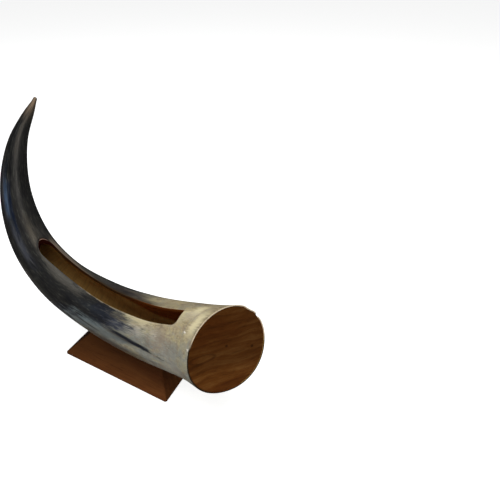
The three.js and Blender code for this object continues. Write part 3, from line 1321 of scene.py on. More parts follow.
@dataclass(frozen=True)
class CutEdge:
    """Sawn and sanded horn: pale at the rim and in a crescent at the slot's tip end, red-brown across the
    slot's wall, with grime in spots, a painted highlight on the slot's near lip, and painted shade on the
    rim's lower side and on the wall at the tip end.
    """

    cream: Colour = srgb(232, 212, 180)
    worn: Colour = srgb(160, 144, 114)
    skin: Colour = srgb(62, 56, 50)
    beige: Colour = srgb(54, 36, 17)
    red_brown: Colour = srgb(104, 52, 14)
    golden: Colour = srgb(66, 42, 17)
    crescent: Colour = srgb(186, 152, 132)
    maroon: Colour = srgb(46, 9, 3)
    grime: Colour = srgb(58, 44, 30)
    broken: tuple[float, ...] = (18.0, 20.5)
    roughness: float = 0.42
    gloss: float = 0.1

    def build(self, effects: Effects) -> Material:
        """Makes the cut's material.

        Args:
            effects: The shared effects.

        Returns:
            The material.
        """
        material, board, shader = Board.material("horn_cut")
        place = GrowthPlace.read(board)
        outer = board.attribute("outer").outputs["Fac"]
        spots = place.noise(160.0, 14.0, 4.0)
        end = board.ease(place.along, 268.0, 278.0)
        wall = board.mix(board.ease(place.along, 96.0, 140.0), self.red_brown, self.golden)
        # painted shade: the wall turns maroon at the slot's tip end
        wall = board.mix(end, wall, self.maroon)
        # painted highlight on the slot's near lip, to about 200 mm from the mouth
        near_lip = board.mix(board.ease(place.along, 190.0, 212.0), self.worn, self.skin)
        far_lip = board.mix(board.ease(place.along, 178.0, 205.0), wall, self.beige)
        lip = board.mix(board.ease(place.around, 104.0, 96.0), near_lip, far_lip)
        top = board.times(board.ease(place.around, 78.0, 86.0), board.ease(place.around, 106.0, 98.0))
        lip = board.mix(end, lip, board.mix(top, self.skin, self.crescent))
        slot = board.mix(board.ease(outer, 0.86, 0.93), wall, lip)
        # the rim darkens on its lower and near side: painted shade; the chips and the spots below are grime
        shade_and_grime = board.ease(board.times_plus(spots, 20.0, board.apart(place.around, 60.0)), 80.0, 96.0)
        for middle in self.broken:
            chip = board.ease(board.apart(place.around, middle), 1.5, 3.5, 0.75, 0.0)
            shade_and_grime = board.math("MAXIMUM", shade_and_grime, chip)
        rim = board.mix(board.ease(spots, 0.52, 0.7, 0.0, 0.4), self.cream, self.grime)
        rim = board.mix(shade_and_grime, rim, self.grime)
        colour = board.mix(board.ease(place.along, 8.0, 12.0), rim, slot)
        smudge = board.effect(effects.smudges, Position=place.flat(0.035), Scale=60.0)
        rough = board.times_plus(smudge.outputs["Mask"], 0.15, self.roughness)
        relief = board.bump(spots, 0.3, 0.0001)
        board.wire(shader, Base_Color=colour, Roughness=rough, Normal=relief, Specular_IOR_Level=self.gloss)
        return material


@dataclass(frozen=True)
class Knot:
    """A place on the wood where the grain swells round something, or a small dark speck.

    Places and sizes are in millimetres, in the model's frame.
    """

    place: Triple
    radius: float
    stretch: float = 1.0
    swell: float = 0.0
    dark: float = 0.0
    outline: float = 0.0
    pale: float = 0.0


@dataclass(frozen=True)
class Teak:
    """Oiled teak, cut with its grain along one direction."""

    name: str
    light: Colour
    middle: Colour
    dark: Colour
    warm: Colour
    grain_along: Triple
    pith: Triple
    knots: tuple[Knot, ...] = ()
    band_width: float = 0.006
    waver: float = 0.004
    band_strength: float = 0.15
    shaded_top: Triple = (0.9, 1.0, 0.0)
    shade_way: Triple = (0.0, 0.0, 1.0)
    figure_length: float = 1.0
    middle_tone: float = 0.48
    contrast: float = 0.7
    sawn_end: float = 0.0
    roughness: float = 0.5
    gloss: float = 0.06

    def turned(self) -> Matrix:
        """Finds the turn that lays the grain's direction on X.

        Returns:
            The turn.
        """
        along = Vector(self.grain_along).normalized()
        aside = Vector((0, 0, 1)).cross(along).normalized()
        return Matrix((along, aside, along.cross(aside)))

    def _near(self, board: Board, position: Socket, knot: Knot) -> tuple[Socket, ...]:
        """Places a point in a knot.

        Args:
            board: The material's board.
            position: The point, with the grain along X.
            knot: The knot.

        Returns:
            How near the point is, 1 at the knot's middle and 0 from its radius on, and the way out of it.
        """
        turn = self.turned()
        middle = turn @ Vector(knot.place) * MM - turn @ Vector(self.pith)
        away = board.scale(board.shift(position, tuple(-v for v in middle)), (1 / knot.stretch, 1.0, 1.0))
        length = board.vector("LENGTH", away).outputs["Value"]
        return board.fade(length, knot.radius * MM * 0.3, knot.radius * MM), away

    def build(self, effects: Effects) -> Material:
        """Makes the wood's material.

        Args:
            effects: The shared effects.

        Returns:
            The material.
        """
        material, board, shader = Board.material(self.name)
        place = board.node("ShaderNodeTexCoord").outputs["Object"]
        mapping = board.node("ShaderNodeMapping", vector_type="POINT")
        turn = self.turned()
        board.wire(mapping, Vector=place, Rotation=turn.to_euler(), Location=-(turn @ Vector(self.pith)))
        position = mapping.outputs[0]
        figured, specks, paler = position, 0.0, 0.0
        for knot in self.knots:
            near, away = self._near(board, position, knot)
            pull = board.times(near, -knot.swell)
            figured = board.vector("MULTIPLY_ADD", away, board.join(0.0, pull, pull), figured).outputs[0]
            rim = board.times(board.ease(near, 0.04, 0.3), board.fade(near, 0.35, 0.8))
            specks = board.times_plus(near, knot.dark, specks)
            specks = board.times_plus(rim, knot.outline, specks)
            paler = board.times_plus(near, knot.pale, paler)
        figured = board.scale(figured, (1 / self.figure_length, 1.0, 1.0))
        grain = board.effect(effects.grain, Position=figured, Band_width=self.band_width, Waver=self.waver)
        tone = board.times(grain.outputs["Bands"], self.band_strength)
        for pattern, weight in (("Cloud", 0.5), ("Lines", 0.26), ("Fibres", 0.24)):
            tone = board.times_plus(grain.outputs[pattern], weight, tone)
        tone = board.less(tone, self.band_strength * 0.5 + self.middle_tone)
        tone = board.less(board.times_plus(tone, self.contrast, self.middle_tone), paler)
        colour = board.ramp(tone, ((0.36, self.light), (0.5, self.middle), (0.66, self.dark)))
        colour = board.tint(colour, grain.outputs["Cloud"], ((0.52, 0.66, 0.4, self.warm),))
        colour = board.mix(board.times(grain.outputs["Pores"], 0.5), colour, self.dark)
        colour = board.mix(specks, colour, self.dark)
        # painted shade: darker along shade_way, for the horn's shadow over the block and the disc's dimmer
        # upper part
        low, high, strength = self.shaded_top
        height = board.vector("DOT_PRODUCT", place, self.shade_way).outputs["Value"]
        colour = board.mix(board.ease(height, low, high, 0.0, strength), colour, self.dark)
        # faces turned along X are darker: partly end grain, partly painted shade for the block's end under
        # the horn's mouth
        facing = board.split(board.node("ShaderNodeNewGeometry").outputs["Normal"])[0]
        end_faces_dark = board.ease(board.math("ABSOLUTE", facing), 0.45, 0.7, 0.0, self.sawn_end)
        colour = board.mix(end_faces_dark, colour, self.dark)
        smudge = board.effect(effects.smudges, Position=position, Scale=24.0)
        rough = board.times_plus(smudge.outputs["Mask"], 0.12, self.roughness)
        rough = board.times_plus(grain.outputs["Pores"], 0.2, rough)
        height = board.times_plus(grain.outputs["Pores"], -1.0, board.times(grain.outputs["Fibres"], 0.4))
        relief = board.bump(height, 0.35, 0.00012)
        board.wire(shader, Base_Color=colour, Roughness=rough, Normal=relief, Specular_IOR_Level=self.gloss)
        return material


# Sub-assemblies


@dataclass
class GrowthRelief:
    """The horn's low relief, laid on by Geometry Nodes: waves outside and rings in the hollow."""

    wave_depth: float = 0.00018
    wave_count: float = 26.0
    ring_depth: float = 0.00035
    ring_count: float = 260.0
    seed: float = 7.0

    def _inputs(self) -> tuple[tuple[str, float], ...]:
        """The tree's named inputs and their values."""
        return (
            ("Wave depth", self.wave_depth),
            ("Waves in a metre", self.wave_count),
            ("Ring depth", self.ring_depth),
            ("Rings in a metre", self.ring_count),
            ("Seed", self.seed),
        )

    def _tree(self, materials: dict[HornSide, Material]) -> tuple[NodeTree, dict[str, str]]:
        """Builds the tree.

        Args:
            materials: The material of each kind of surface.

        Returns:
            The tree, and each input's identifier by name.
        """
        tree = bpy.data.node_groups.new("growth_relief", "GeometryNodeTree")
        tree.interface.new_socket(name="Geometry", in_out="INPUT", socket_type="NodeSocketGeometry")
        names = {}
        for label, default in self._inputs():
            socket = tree.interface.new_socket(name=label, in_out="INPUT", socket_type="NodeSocketFloat")
            socket.default_value = default
            names[label] = socket.identifier
        tree.interface.new_socket(name="Geometry", in_out="OUTPUT", socket_type="NodeSocketGeometry")
        board = Board(tree)
        given, result = board.node("NodeGroupInput"), board.node("NodeGroupOutput")
        value = given.outputs
        grow = self._named(board, "grow", "FLOAT_VECTOR")
        outward = self._named(board, "outward", "FLOAT_VECTOR")
        outer = self._named(board, "outer", "FLOAT")
        metres, side, top = board.split(grow)

        def pattern(count: Socket, across: float) -> Socket:
            """Lays a noise along the horn.

            Args:
                count: How many of its lumps fit into a metre.
                across: How many fit into one radian round it.

            Returns:
                The noise, 0 on average.
            """
            run = board.times_plus(metres, count, value["Seed"])
            spot = board.join(run, board.times(side, across), board.times(top, across))
            return board.less(board.noise(spot, 1.0, 2.0), 0.5)

        wave = board.times(pattern(value["Waves in a metre"], 1.3), 2.0)
        ring = pattern(value["Rings in a metre"], 0.6)
        outside = board.times(wave, value["Wave depth"], outer)
        inside = board.times(ring, value["Ring depth"], board.less(1.0, outer))
        offset = board.node("ShaderNodeVectorMath", operation="SCALE")
        board.wire(offset, Vector=outward, Scale=board.math("ADD", outside, inside))
        move = board.node("GeometryNodeSetPosition")
        board.wire(move, Geometry=value["Geometry"], Offset=offset.outputs[0])
        real = board.node("GeometryNodeRealizeInstances")
        board.feed(real.inputs[0], move.outputs[0])
        shape = real.outputs[0]
        kind = self._named(board, "side", "FLOAT")
        for surface, material in materials.items():
            dress = board.node("GeometryNodeSetMaterial")
            chosen = board.math("COMPARE", kind, float(surface.value), 0.25)
            board.wire(dress, Geometry=shape, Selection=chosen, Material=material)
            shape = dress.outputs[0]
        board.feed(result.inputs[0], shape)
        return tree, names

    @staticmethod
    def _named(board: Board, name: str, kind: str) -> Socket:
        """Reads a mesh attribute in the tree.

        Args:
            board: The tree's board.
            name: The attribute's name.
            kind: Its kind of data in Blender.

        Returns:
            Its value.
        """
        node = board.node("GeometryNodeInputNamedAttribute", data_type=kind)
        board.wire(node, Name=name)
        return next(socket for socket in node.outputs if socket.enabled)

    def apply(self, piece: Piece, materials: dict[HornSide, Material]) -> None:
        """Lays the relief on a piece and keeps the result as its plain mesh.

        Args:
            piece: The horn, with its attributes.
            materials: The material of each kind of surface.
        """
        sides = [0.0] * len(piece.data.polygons)
        piece.data.polygons.foreach_get("material_index", sides)
        kind = piece.data.attributes.new("side", "FLOAT", "FACE")
        kind.data.foreach_set("value", [float(side) for side in sides])
        for side in HornSide:
            piece.data.materials.append(materials[side])
        tree, names = self._tree(materials)
        modifier = piece.modifiers.new("growth_relief", "NODES")
        modifier.node_group = tree
        for label, default in self._inputs():
            modifier[names[label]] = default
        ready = piece.evaluated_get(bpy.context.evaluated_depsgraph_get())
        mesh = bpy.data.meshes.new_from_object(ready)
        piece.modifiers.remove(modifier)
        old = piece.data
        piece.data = mesh
        bpy.data.meshes.remove(old)


def ring_angles(sides: int) -> Array:
    """Angles round the horn from the seam on the underside."""
    return -90 + np.arange(sides) * 360 / sides


@dataclass
class Horn:
    """The horn: its skin, its hollow, its sanded rim and the slot cut down into it."""

    shape: HornShape
    slot: SlotShape = field(default_factory=SlotShape)
    sides: int = 144
    ring_step: float = 1.9
    inside_step: float = 2.2
    edge_round: float = 0.45
    inner_round: float = 0.3
    rim_round: float = 0.35
    round_steps: int = 3
    wall_steps: int = 4
    edge_share: float = 0.15
    inner_chip: float = 0.7
    rim_shares: Pair = (0.35, 0.7)
    patch_gap: float = 0.7
    tip_turns: tuple[float, ...] = (15, 30, 45, 60, 75)
    tip_bluntness: float = 0.8
    pole_step: float = 0.05
    last_turn: float = 86.0
    end_rings: int = 20
    patch: tuple[float, ...] = (26, 308, 42, 152)
    flat_turn: float = 32.0
    far_off: float = 9.0
    chip_reach: float = 6.0
    chips: tuple[Triple, ...] = ((17, 3.5, 2.4), (146, 1.6, 0.5), (172, 2.0, 0.4))

    def _chipped(self, angle: Array) -> Array:
        """How deep the rim is chipped at each angle.

        Args:
            angle: Angles round the horn.

        Returns:
            The depth at each, in millimetres.
        """
        deep = np.zeros_like(angle)
        for middle, width, depth in self.chips:
            deep = deep + depth * np.exp(-(((angle - middle) / width) ** 4))
        return deep

    def _ring(self, sheet: MeshSheet, distance: float, radius: float, outer: float, push: Array) -> Array:
        """Adds one ring of vertices.

        Args:
            sheet: The mesh under work.
            distance: The ring's distance from the mouth.
            radius: Its radius.
            outer: 1 on the outside and 0 on the inside.
            push: How far each vertex is pushed along the horn.

        Returns:
            The vertices' numbers.
        """
        angles = ring_angles(self.sides)
        at = distance + push
        size = np.full_like(angles, radius)
        points = self.shape.place(at, angles, size)
        return sheet.add_points(points, at, angles, self.shape.outward(at, angles), outer)

    def _skin(
        self, sheet: MeshSheet, stations: Array, radii: Array, outline: tuple, side: HornSide
    ) -> tuple:
        """Adds one skin with the slot's hole in it.

        Args:
            sheet: The mesh under work.
            stations: The rings' distances from the mouth.
            radii: Their radii.
            outline: The hole's numbers, distances and angles.
            side: SKIN or INSIDE.

        Returns:
            The rings' vertex numbers, first to last.
        """
        angles = ring_angles(self.sides)
        outer = 1.0 if side is HornSide.SKIN else 0.0
        chips = self._chipped(angles) * (1.0 if side is HornSide.SKIN else self.inner_chip)
        fading = np.maximum(0.0, 1 - stations / self.chip_reach)
        rings = [
            self._ring(sheet, distance, radius, outer, chips * share)
            for distance, radius, share in zip(stations, radii, fading)
        ]
        low, high, left, right = self.patch
        rows = [i for i, distance in enumerate(stations) if low <= distance <= high]
        first_row, last_row = rows[0], rows[-1]
        columns = [j for j, angle in enumerate(angles) if left <= angle <= right]
        first_column, last_column = columns[0], columns[-1]
        for i in range(len(rings) - 1):
            for j in range(self.sides):
                in_patch = first_row <= i < last_row and first_column <= j < last_column
                if not in_patch:
                    k = (j + 1) % self.sides
                    corners = (rings[i][j], rings[i + 1][j], rings[i + 1][k], rings[i][k])
                    self._face(sheet, corners, side)
        block = np.s_[first_row : last_row + 1, first_column : last_column + 1]
        across = np.radians(angles) * self.flat_turn
        grid = np.stack(np.meshgrid(stations, across, indexing="ij"), -1)
        self._fill_patch(sheet, np.array(rings)[block].ravel(), grid[block].reshape(-1, 2), outline, side)
        return tuple(rings)

    def _face(self, sheet: MeshSheet, corners: tuple, side: HornSide) -> None:
        """Adds a face that looks outward on the skin and inward in the hollow."""
        ordered = corners if side is HornSide.SKIN else corners[::-1]
        sheet.add_face(ordered, side)

    def _fill_patch(
        self, sheet: MeshSheet, numbers: Array, flat: Array, outline: tuple, side: HornSide
    ) -> None:
        """Fills the part of a skin round the slot with triangles that meet the hole's outline.

        Args:
            sheet: The mesh under work.
            numbers: The grid's vertices inside the patch.
            flat: Their places with the skin laid flat.
            outline: The hole's numbers, distances and angles.
            side: SKIN or INSIDE.
        """
        hole_numbers, distance, angle = outline
        hole = np.stack([distance, np.radians(angle) * self.flat_turn], -1)
        ahead = np.roll(hole, -1, axis=0)
        keep = []
        for i, spot in enumerate(flat):
            span = ahead - hole
            share = np.clip(((spot - hole) * span).sum(1) / (span**2).sum(1), 0, 1)
            gap = np.linalg.norm(hole + span * share[:, None] - spot, axis=1).min()
            if gap > self.patch_gap and not self._inside(spot, hole, ahead):
                keep.append(i)
        places = np.vstack([hole, flat[keep]])
        owners = np.concatenate([hole_numbers, numbers[keep]])
        count = len(hole)
        edges = [(i, (i + 1) % count) for i in range(count)]
        verts, _, faces, origin, _, _ = delaunay_2d_cdt([Vector(p) for p in places], edges, [], 0, 1e-6)
        for face in faces:
            middle = np.mean([verts[i] for i in face], axis=0)
            if self._inside(middle, hole, ahead):
                continue
            corners = tuple(owners[origin[i][0]] for i in face)
            a, b, c = (np.array(verts[i]) for i in face)
            if (b[0] - a[0]) * (c[1] - a[1]) - (b[1] - a[1]) * (c[0] - a[0]) < 0:
                corners = corners[::-1]
            self._face(sheet, corners, side)

    @staticmethod
    def _inside(spot: Array, start: Array, end: Array) -> bool:
        """Whether a flat place is inside a closed outline.

        Args:
            spot: The place.
            start: Where each of the outline's edges starts.
            end: Where it ends.

        Returns:
            True inside the outline.
        """
        crosses = (start[:, 1] > spot[1]) != (end[:, 1] > spot[1])
        run = np.where(crosses, end[:, 1] - start[:, 1], 1.0)
        at = start[:, 0] + (spot[1] - start[:, 1]) / run * (end[:, 0] - start[:, 0])
        return bool((crosses & (spot[0] < at)).sum() % 2)

    def _cut(
        self, sheet: MeshSheet, radius_of: RadiusRule, grow: float, lower: float, outer: float
    ) -> tuple:
        """Adds one row of vertices round the slot.

        Args:
            sheet: The mesh under work.
            radius_of: The radius of the skin that the row follows.
            grow: How far the row stands outside the cut.
            lower: How far it is lowered from the skin, or raised where it is negative.
            outer: 1 on the outside and 0 on the inside.

        Returns:
            The row's vertex numbers, distances and angles.
        """
        distance, angle = self.shape.drop(self.slot.outline(grow), radius_of, 90.0)
        points = self.shape.place(distance, angle, radius_of(distance))
        points[:, 2] -= lower
        numbers = sheet.add_points(points, distance, angle, self.shape.outward(distance, angle), outer)
        return numbers, distance, angle

    def _slot_rows(self, sheet: MeshSheet) -> tuple[tuple, tuple]:
        """Adds the slot's cut wall with its two eased edges.

        Args:
            sheet: The mesh under work.

        Returns:
            The row on the outside skin and the row on the hollow's skin.
        """
        shape, edge = self.shape, self.edge_share
        turns = np.linspace(0, math.pi / 2, self.round_steps + 1)

        def eased(rounding: float, turn: float) -> Pair:
            """How far a row stands outside the cut, and how far it is lowered."""
            return abs(rounding) * (1 - math.sin(turn)), rounding * (1 - math.cos(turn))

        outer_rows = [
            self._cut(sheet, shape.radius, *eased(self.edge_round, turn), 1 - edge * math.sin(turn))
            for turn in turns
        ]
        inner_rows = [
            self._cut(sheet, shape.hollow_radius, *eased(-self.inner_round, turn), edge * math.sin(turn))
            for turn in turns[::-1]
        ]
        top, low = outer_rows[-1], inner_rows[0]
        all_points = np.vstack(sheet.points)
        middle_rows = []
        for step in range(1, self.wall_steps):
            share = step / self.wall_steps
            points = all_points[top[0]] * (1 - share) + all_points[low[0]] * share
            distance = top[1] * (1 - share) + low[1] * share
            angle = top[2] * (1 - share) + low[2] * share
            outer = 1 - edge - (1 - 2 * edge) * share
            numbers = sheet.add_points(points, distance, angle, shape.outward(distance, angle), outer)
            middle_rows.append((numbers, distance, angle))
        rows = outer_rows + middle_rows + inner_rows
        for first, second in zip(rows[:-1], rows[1:]):
            sheet.add_strip(second[0], first[0], HornSide.CUT)
        return rows[0], rows[-1]

    def _rim_rows(self, sheet: MeshSheet) -> list[Array]:
        """Adds the rings of the sanded rim, from the outside skin to the hollow's.

        Args:
            sheet: The mesh under work.

        Returns:
            The rings' vertex numbers.
        """
        shape = self.shape
        full, wall = float(shape.radius(np.zeros(1))[0]), float(shape.wall(np.zeros(1))[0])
        chips = self._chipped(ring_angles(self.sides))
        rings = []
        turns = np.linspace(0, math.pi / 2, self.round_steps + 1)[1:]
        for turn in turns:
            distance = self.rim_round * (1 - math.sin(turn))
            radius = full - self.rim_round * (1 - math.cos(turn))
            rings.append(self._ring(sheet, distance, radius, 1.0, chips))
        for share in self.rim_shares:
            radius = full - self.rim_round - (wall - 2 * self.rim_round) * share
            push = chips * (1 - (1 - self.inner_chip) * share)
            rings.append(self._ring(sheet, 0.0, radius, 1.0 - share, push))
        for turn in turns[::-1]:
            distance = self.rim_round * (1 - math.sin(turn))
            radius = full - wall + self.rim_round * (1 - math.cos(turn))
            rings.append(self._ring(sheet, distance, radius, 0.0, chips * self.inner_chip))
        return rings

    def build(self, materials: dict[HornSide, Material]) -> Piece:
        """Builds the horn.

        Args:
            materials: The material of each kind of surface.

        Returns:
            The finished object.
        """
        shape, sheet = self.shape, MeshSheet()
        outside_row, inside_row = self._slot_rows(sheet)
        steps = round((shape.length - self.rim_round) / self.ring_step)
        stations = np.linspace(self.rim_round, shape.length, steps + 1)
        turns = np.radians(self.tip_turns)
        tip = shape.length + shape.tip_radius * np.sin(turns) * self.tip_bluntness
        stations = np.concatenate([stations, tip])
        radii = np.concatenate([shape.radius(stations[: steps + 1]), shape.tip_radius * np.cos(turns)])
        outer = self._skin(sheet, stations, radii, outside_row, HornSide.SKIN)
        self._close(sheet, outer[-1], float(stations[-1]) + self.pole_step, HornSide.SKIN)
        round_start = shape.hollow_length - shape.hollow_round
        steps = round((round_start - self.rim_round) / self.inside_step)
        turns = np.radians(np.linspace(0, self.last_turn, self.end_rings)[1:])
        stations = np.concatenate(
            (
                np.linspace(self.rim_round, round_start, steps + 1),
                round_start + shape.hollow_round * np.sin(turns),
            )
        )
        radii = shape.hollow_radius(stations)
        inner = self._skin(sheet, stations, radii, inside_row, HornSide.INSIDE)
        self._close(sheet, inner[-1], shape.hollow_length, HornSide.INSIDE)
        rim = [outer[0], *self._rim_rows(sheet), inner[0]]
        for first, second in zip(rim[:-1], rim[1:]):
            sheet.add_strip(second, first, HornSide.CUT)
        sheet.edge = self._slot_gap(sheet, outside_row)
        piece = sheet.to_object("polished_horn")
        GrowthRelief().apply(piece, materials)
        stand_for(piece, Part.HORN)
        return piece

    def _slot_gap(self, sheet: MeshSheet, outline: tuple) -> Array:
        """Measures how far each vertex is from the slot's edge, in millimetres over the skin.

        Args:
            sheet: The horn's vertices.
            outline: The slot's outside row: numbers, distances and angles.

        Returns:
            The distance of each vertex, no more than far_off.
        """
        grow = np.vstack(sheet.grow)
        around = np.degrees(np.arctan2(grow[:, 2], grow[:, 1])) % 360
        flat = np.stack([grow[:, 0] / MM, np.radians(around) * self.flat_turn], -1)
        hole = np.stack([outline[1], np.radians(outline[2]) * self.flat_turn], -1)
        low, high = hole.min(0) - self.far_off, hole.max(0) + self.far_off
        near = np.all((flat > low) & (flat < high), axis=1)
        span = np.roll(hole, -1, axis=0) - hole
        step = flat[near][:, None] - hole[None]
        share = np.clip((step * span).sum(-1) / (span**2).sum(-1), 0, 1)
        gap = np.full(len(flat), self.far_off)
        gap[near] = np.minimum(np.linalg.norm(step - span * share[..., None], axis=-1).min(1), self.far_off)
        return gap

    def _close(self, sheet: MeshSheet, ring: Array, distance: float, side: HornSide) -> None:
        """Closes a skin's last ring with a fan.

        Args:
            sheet: The mesh under work.
            ring: The ring's vertices.
            distance: The pole's distance from the mouth.
            side: SKIN or INSIDE.
        """
        at, angle = np.array([distance]), np.array([90.0])
        pole = sheet.add_points(
            self.shape.row("centre", at), at, angle, np.zeros((1, 3)), float(side is HornSide.SKIN)
        )[0]
        for start, end in zip(ring, np.roll(ring, -1)):
            self._face(sheet, (start, pole, end), side)


@dataclass
class MouthDisc:
    """The teak disc in the horn's mouth, with its edge eased."""

    shape: HornShape
    thickness: float = 12.0
    recess: float = 0.4
    gap: float = 0.3
    edge: float = 0.4
    edge_turns: Triple = (30.0, 60.0, 90.0)
    side_rings: Triple = (2.5, 5.0, 8.0)
    back_shares: Triple = (0.75, 0.5, 0.25)
    sides: int = 144
    rings: int = 22

    def build(self, material: Material) -> Piece:
        """Builds the disc.

        Args:
            material: The disc's wood.

        Returns:
            The finished object.
        """
        shape, sheet = self.shape, MeshSheet()
        angles = ring_angles(self.sides)

        def reach(distance: float) -> float:
            """The disc's radius at a distance from the mouth."""
            at = np.array([distance])
            return float((shape.radius(at) - shape.wall(at))[0]) - self.gap

        front = reach(self.recess)
        shares = np.linspace(0, 1, self.rings)[1:]
        profile = [(self.recess, (front - self.edge) * share) for share in shares]
        for turn in np.radians(self.edge_turns):
            inward, outward = 1 - math.cos(turn), 1 - math.sin(turn)
            profile.append((self.recess + self.edge * inward, front - self.edge * outward))
        profile += [(at, reach(at)) for at in (*self.side_rings, self.thickness - self.edge)]
        back = reach(self.thickness)
        profile.append((self.thickness, back - self.edge))
        profile += [(self.thickness, (back - self.edge) * share) for share in self.back_shares]
        rows = []
        for distance, radius in profile:
            at = np.full_like(angles, distance)
            points = shape.place(at, angles, np.full_like(angles, radius))
            rows.append(sheet.add_points(points, at, angles, shape.outward(at, angles), 1.0))
        for first, second in zip(rows[:-1], rows[1:]):
            sheet.add_strip(first, second, HornSide.SKIN)
        for row, distance, flip in ((rows[0], self.recess, True), (rows[-1], self.thickness, False)):
            at = np.array([distance])
            pole = sheet.add_points(shape.row("centre", at), at, at, np.zeros((1, 3)), 1.0)[0]
            for start, end in zip(row, np.roll(row, -1)):
                sheet.add_face((end, pole, start) if flip else (start, pole, end), HornSide.SKIN)
        piece = sheet.to_object("teak_disc")
        piece.data.materials.append(material)
        stand_for(piece, Part.DISC)
        return piece


@dataclass
class StandBlock:
    """The bevelled teak block, its top hollowed to the horn's underside and its edges eased."""

    shape: HornShape
    length: float = 150.0
    width: float = 80.0
    height: float = 30.0
    upright: float = 2.0
    end_inset: float = 31.0
    side_inset: float = 37.0
    corner: float = 2.6
    ease: float = 1.5
    foot: float = 0.35
    foot_ring: float = 0.55
    gap: float = 0.3
    step: float = 0.65
    saddle_reach: Pair = (62.0, 17.0)

    def _plan(self) -> tuple[Array, Array, Array, Array]:
        """Lays out the grid seen from above.

        Returns:
            The square grid's x and y, and the same with the corners rounded.
        """
        half_x, half_y = self.length / 2, self.width / 2
        xs = np.linspace(-half_x, half_x, round(self.length / self.step) + 1)
        ys = np.linspace(-half_y, half_y, round(self.width / self.step) + 1)
        x, y = np.meshgrid(xs, ys, indexing="ij")
        in_x = np.clip((np.abs(x) - half_x + self.corner) / self.corner, 0, 1)
        in_y = np.clip((np.abs(y) - half_y + self.corner) / self.corner, 0, 1)
        round_x = in_x * np.sqrt(1 - in_y**2 / 2)
        round_y = in_y * np.sqrt(1 - in_x**2 / 2)
        new_x = np.where(in_x > 0, np.sign(x) * (half_x - self.corner + self.corner * round_x), x)
        new_y = np.where(in_y > 0, np.sign(y) * (half_y - self.corner + self.corner * round_y), y)
        return x, y, new_x, new_y

    def _soft_least(self, a: Array, b: Array) -> Array:
        """The smaller of two heights, with the crease between them rounded."""
        near = np.clip(self.ease - np.abs(a - b), 0, None) / self.ease
        return np.minimum(a, b) - near**2 * self.ease / 4

    def _saddle(self, x: Array, y: Array) -> Array:
        """The height of the horn's underside above each place, where the block can reach it.

        Args:
            x: The grid's x.
            y: The grid's y.

        Returns:
            The height at each place, and a very large one where the horn is out of reach.
        """
        low = np.full(x.shape, 1e3)
        reach_x, reach_y = self.saddle_reach
        under = (np.abs(y) < reach_y) & (np.abs(x) < reach_x)
        plan = np.stack([x[under], y[under]], -1)

        def grown(distance: Array) -> Array:
            """The outside's radius with the gap added."""
            return self.shape.radius(distance) + self.gap

        distance, angle = self.shape.drop(plan, grown, 270.0)
        low[under] = self.shape.place(distance, angle, grown(distance))[:, 2]
        return low

    def heights(self) -> tuple[Array, Array, Array]:
        """The block's upper surface.

        Returns:
            Its grid's x, y and z.
        """
        x, y, new_x, new_y = self._plan()
        rise = self.height - self.upright
        end_slope = rise / (self.end_inset * rise / self.height)
        side_slope = rise / (self.side_inset * rise / self.height)
        ends = self.upright + (self.length / 2 - np.abs(x)) * end_slope
        edges = self.upright + (self.width / 2 - np.abs(y)) * side_slope
        top = self._soft_least(self._soft_least(ends, edges), np.full_like(x, self.height))
        top = np.minimum(top, self._saddle(new_x, new_y))
        return new_x, new_y, top

    def build(self, material: Material) -> Piece:
        """Builds the block.

        Args:
            material: The block's wood.

        Returns:
            The finished object.
        """
        x, y, z = self.heights()
        rows, columns = x.shape
        points = list(np.stack([x.ravel(), y.ravel(), z.ravel()], -1))
        number = np.arange(rows * columns).reshape(rows, columns)
        faces = [
            (number[i, j], number[i + 1, j], number[i + 1, j + 1], number[i, j + 1])
            for i in range(rows - 1)
            for j in range(columns - 1)
        ]
        border = np.concatenate([number[:-1, 0], number[-1, :-1], number[:0:-1, -1], number[0, :0:-1]])
        edge = np.array([points[i] for i in border])
        inward = unit(edge[:, :2] * np.array([1 / self.length, 1 / self.width]))
        above, low = self.foot + self.foot_ring, self.foot * 0.3
        levels = [(above, 0.0), (self.foot, 0.0), (low, low), (0.0, self.foot)]
        last = border
        for level, inset in levels:
            ring = np.arange(len(points), len(points) + len(border))
            for place, towards in zip(edge, inward):
                points.append(np.array([*(place[:2] - towards * inset), level]))
            faces += list(zip(last, ring, np.roll(ring, -1), np.roll(last, -1)))
            last = ring
        centre = len(points)
        points.append(np.zeros(3))
        faces += [(start, centre, end) for start, end in zip(last, np.roll(last, -1))]
        mesh = bpy.data.meshes.new("teak_block")
        whole = [tuple(int(i) for i in face) for face in faces]
        mesh.from_pydata((np.array(points) * MM).tolist(), [], whole)
        mesh.update()
        mesh.shade_smooth()
        piece = put_in_scene("teak_block", mesh)
        piece.data.materials.append(material)
        stand_for(piece, Part.BLOCK)
        return piece


# The studio


class Shows(Enum):
    """Where a soft light shows: as light on the surfaces, as a reflection in them, or as both."""

    LIGHT = "light"
    GLOSS = "gloss"
    BOTH = "both"


@dataclass(frozen=True)
class SoftLight:
    """A square soft light that looks at the object."""

    name: str
    azimuth: float
    elevation: float
    distance: float
    width: float
    height: float
    power: float
    colour: Triple = (1.0, 1.0, 1.0)
    shows: Shows = Shows.BOTH
    target: Triple = (-0.03, 0.0, 0.09)

    def hang(self) -> None:
        """Adds the light to the scene."""
        data = bpy.data.lights.new(self.name, "AREA")
        data.shape, data.size, data.size_y = "RECTANGLE", self.width, self.height
        data.energy, data.color = self.power, self.colour
        lamp = put_in_scene(self.name, data)
        lamp.visible_glossy = self.shows is not Shows.LIGHT
        lamp.visible_diffuse = self.shows is not Shows.GLOSS
        turn, lift = math.radians(self.azimuth), math.radians(self.elevation)
        away = Vector((math.cos(lift) * math.cos(turn), math.cos(lift) * math.sin(turn), math.sin(lift)))
        lamp.location = Vector(self.target) + away * self.distance
        lamp.rotation_euler = away.to_track_quat("Z", "Y").to_euler()


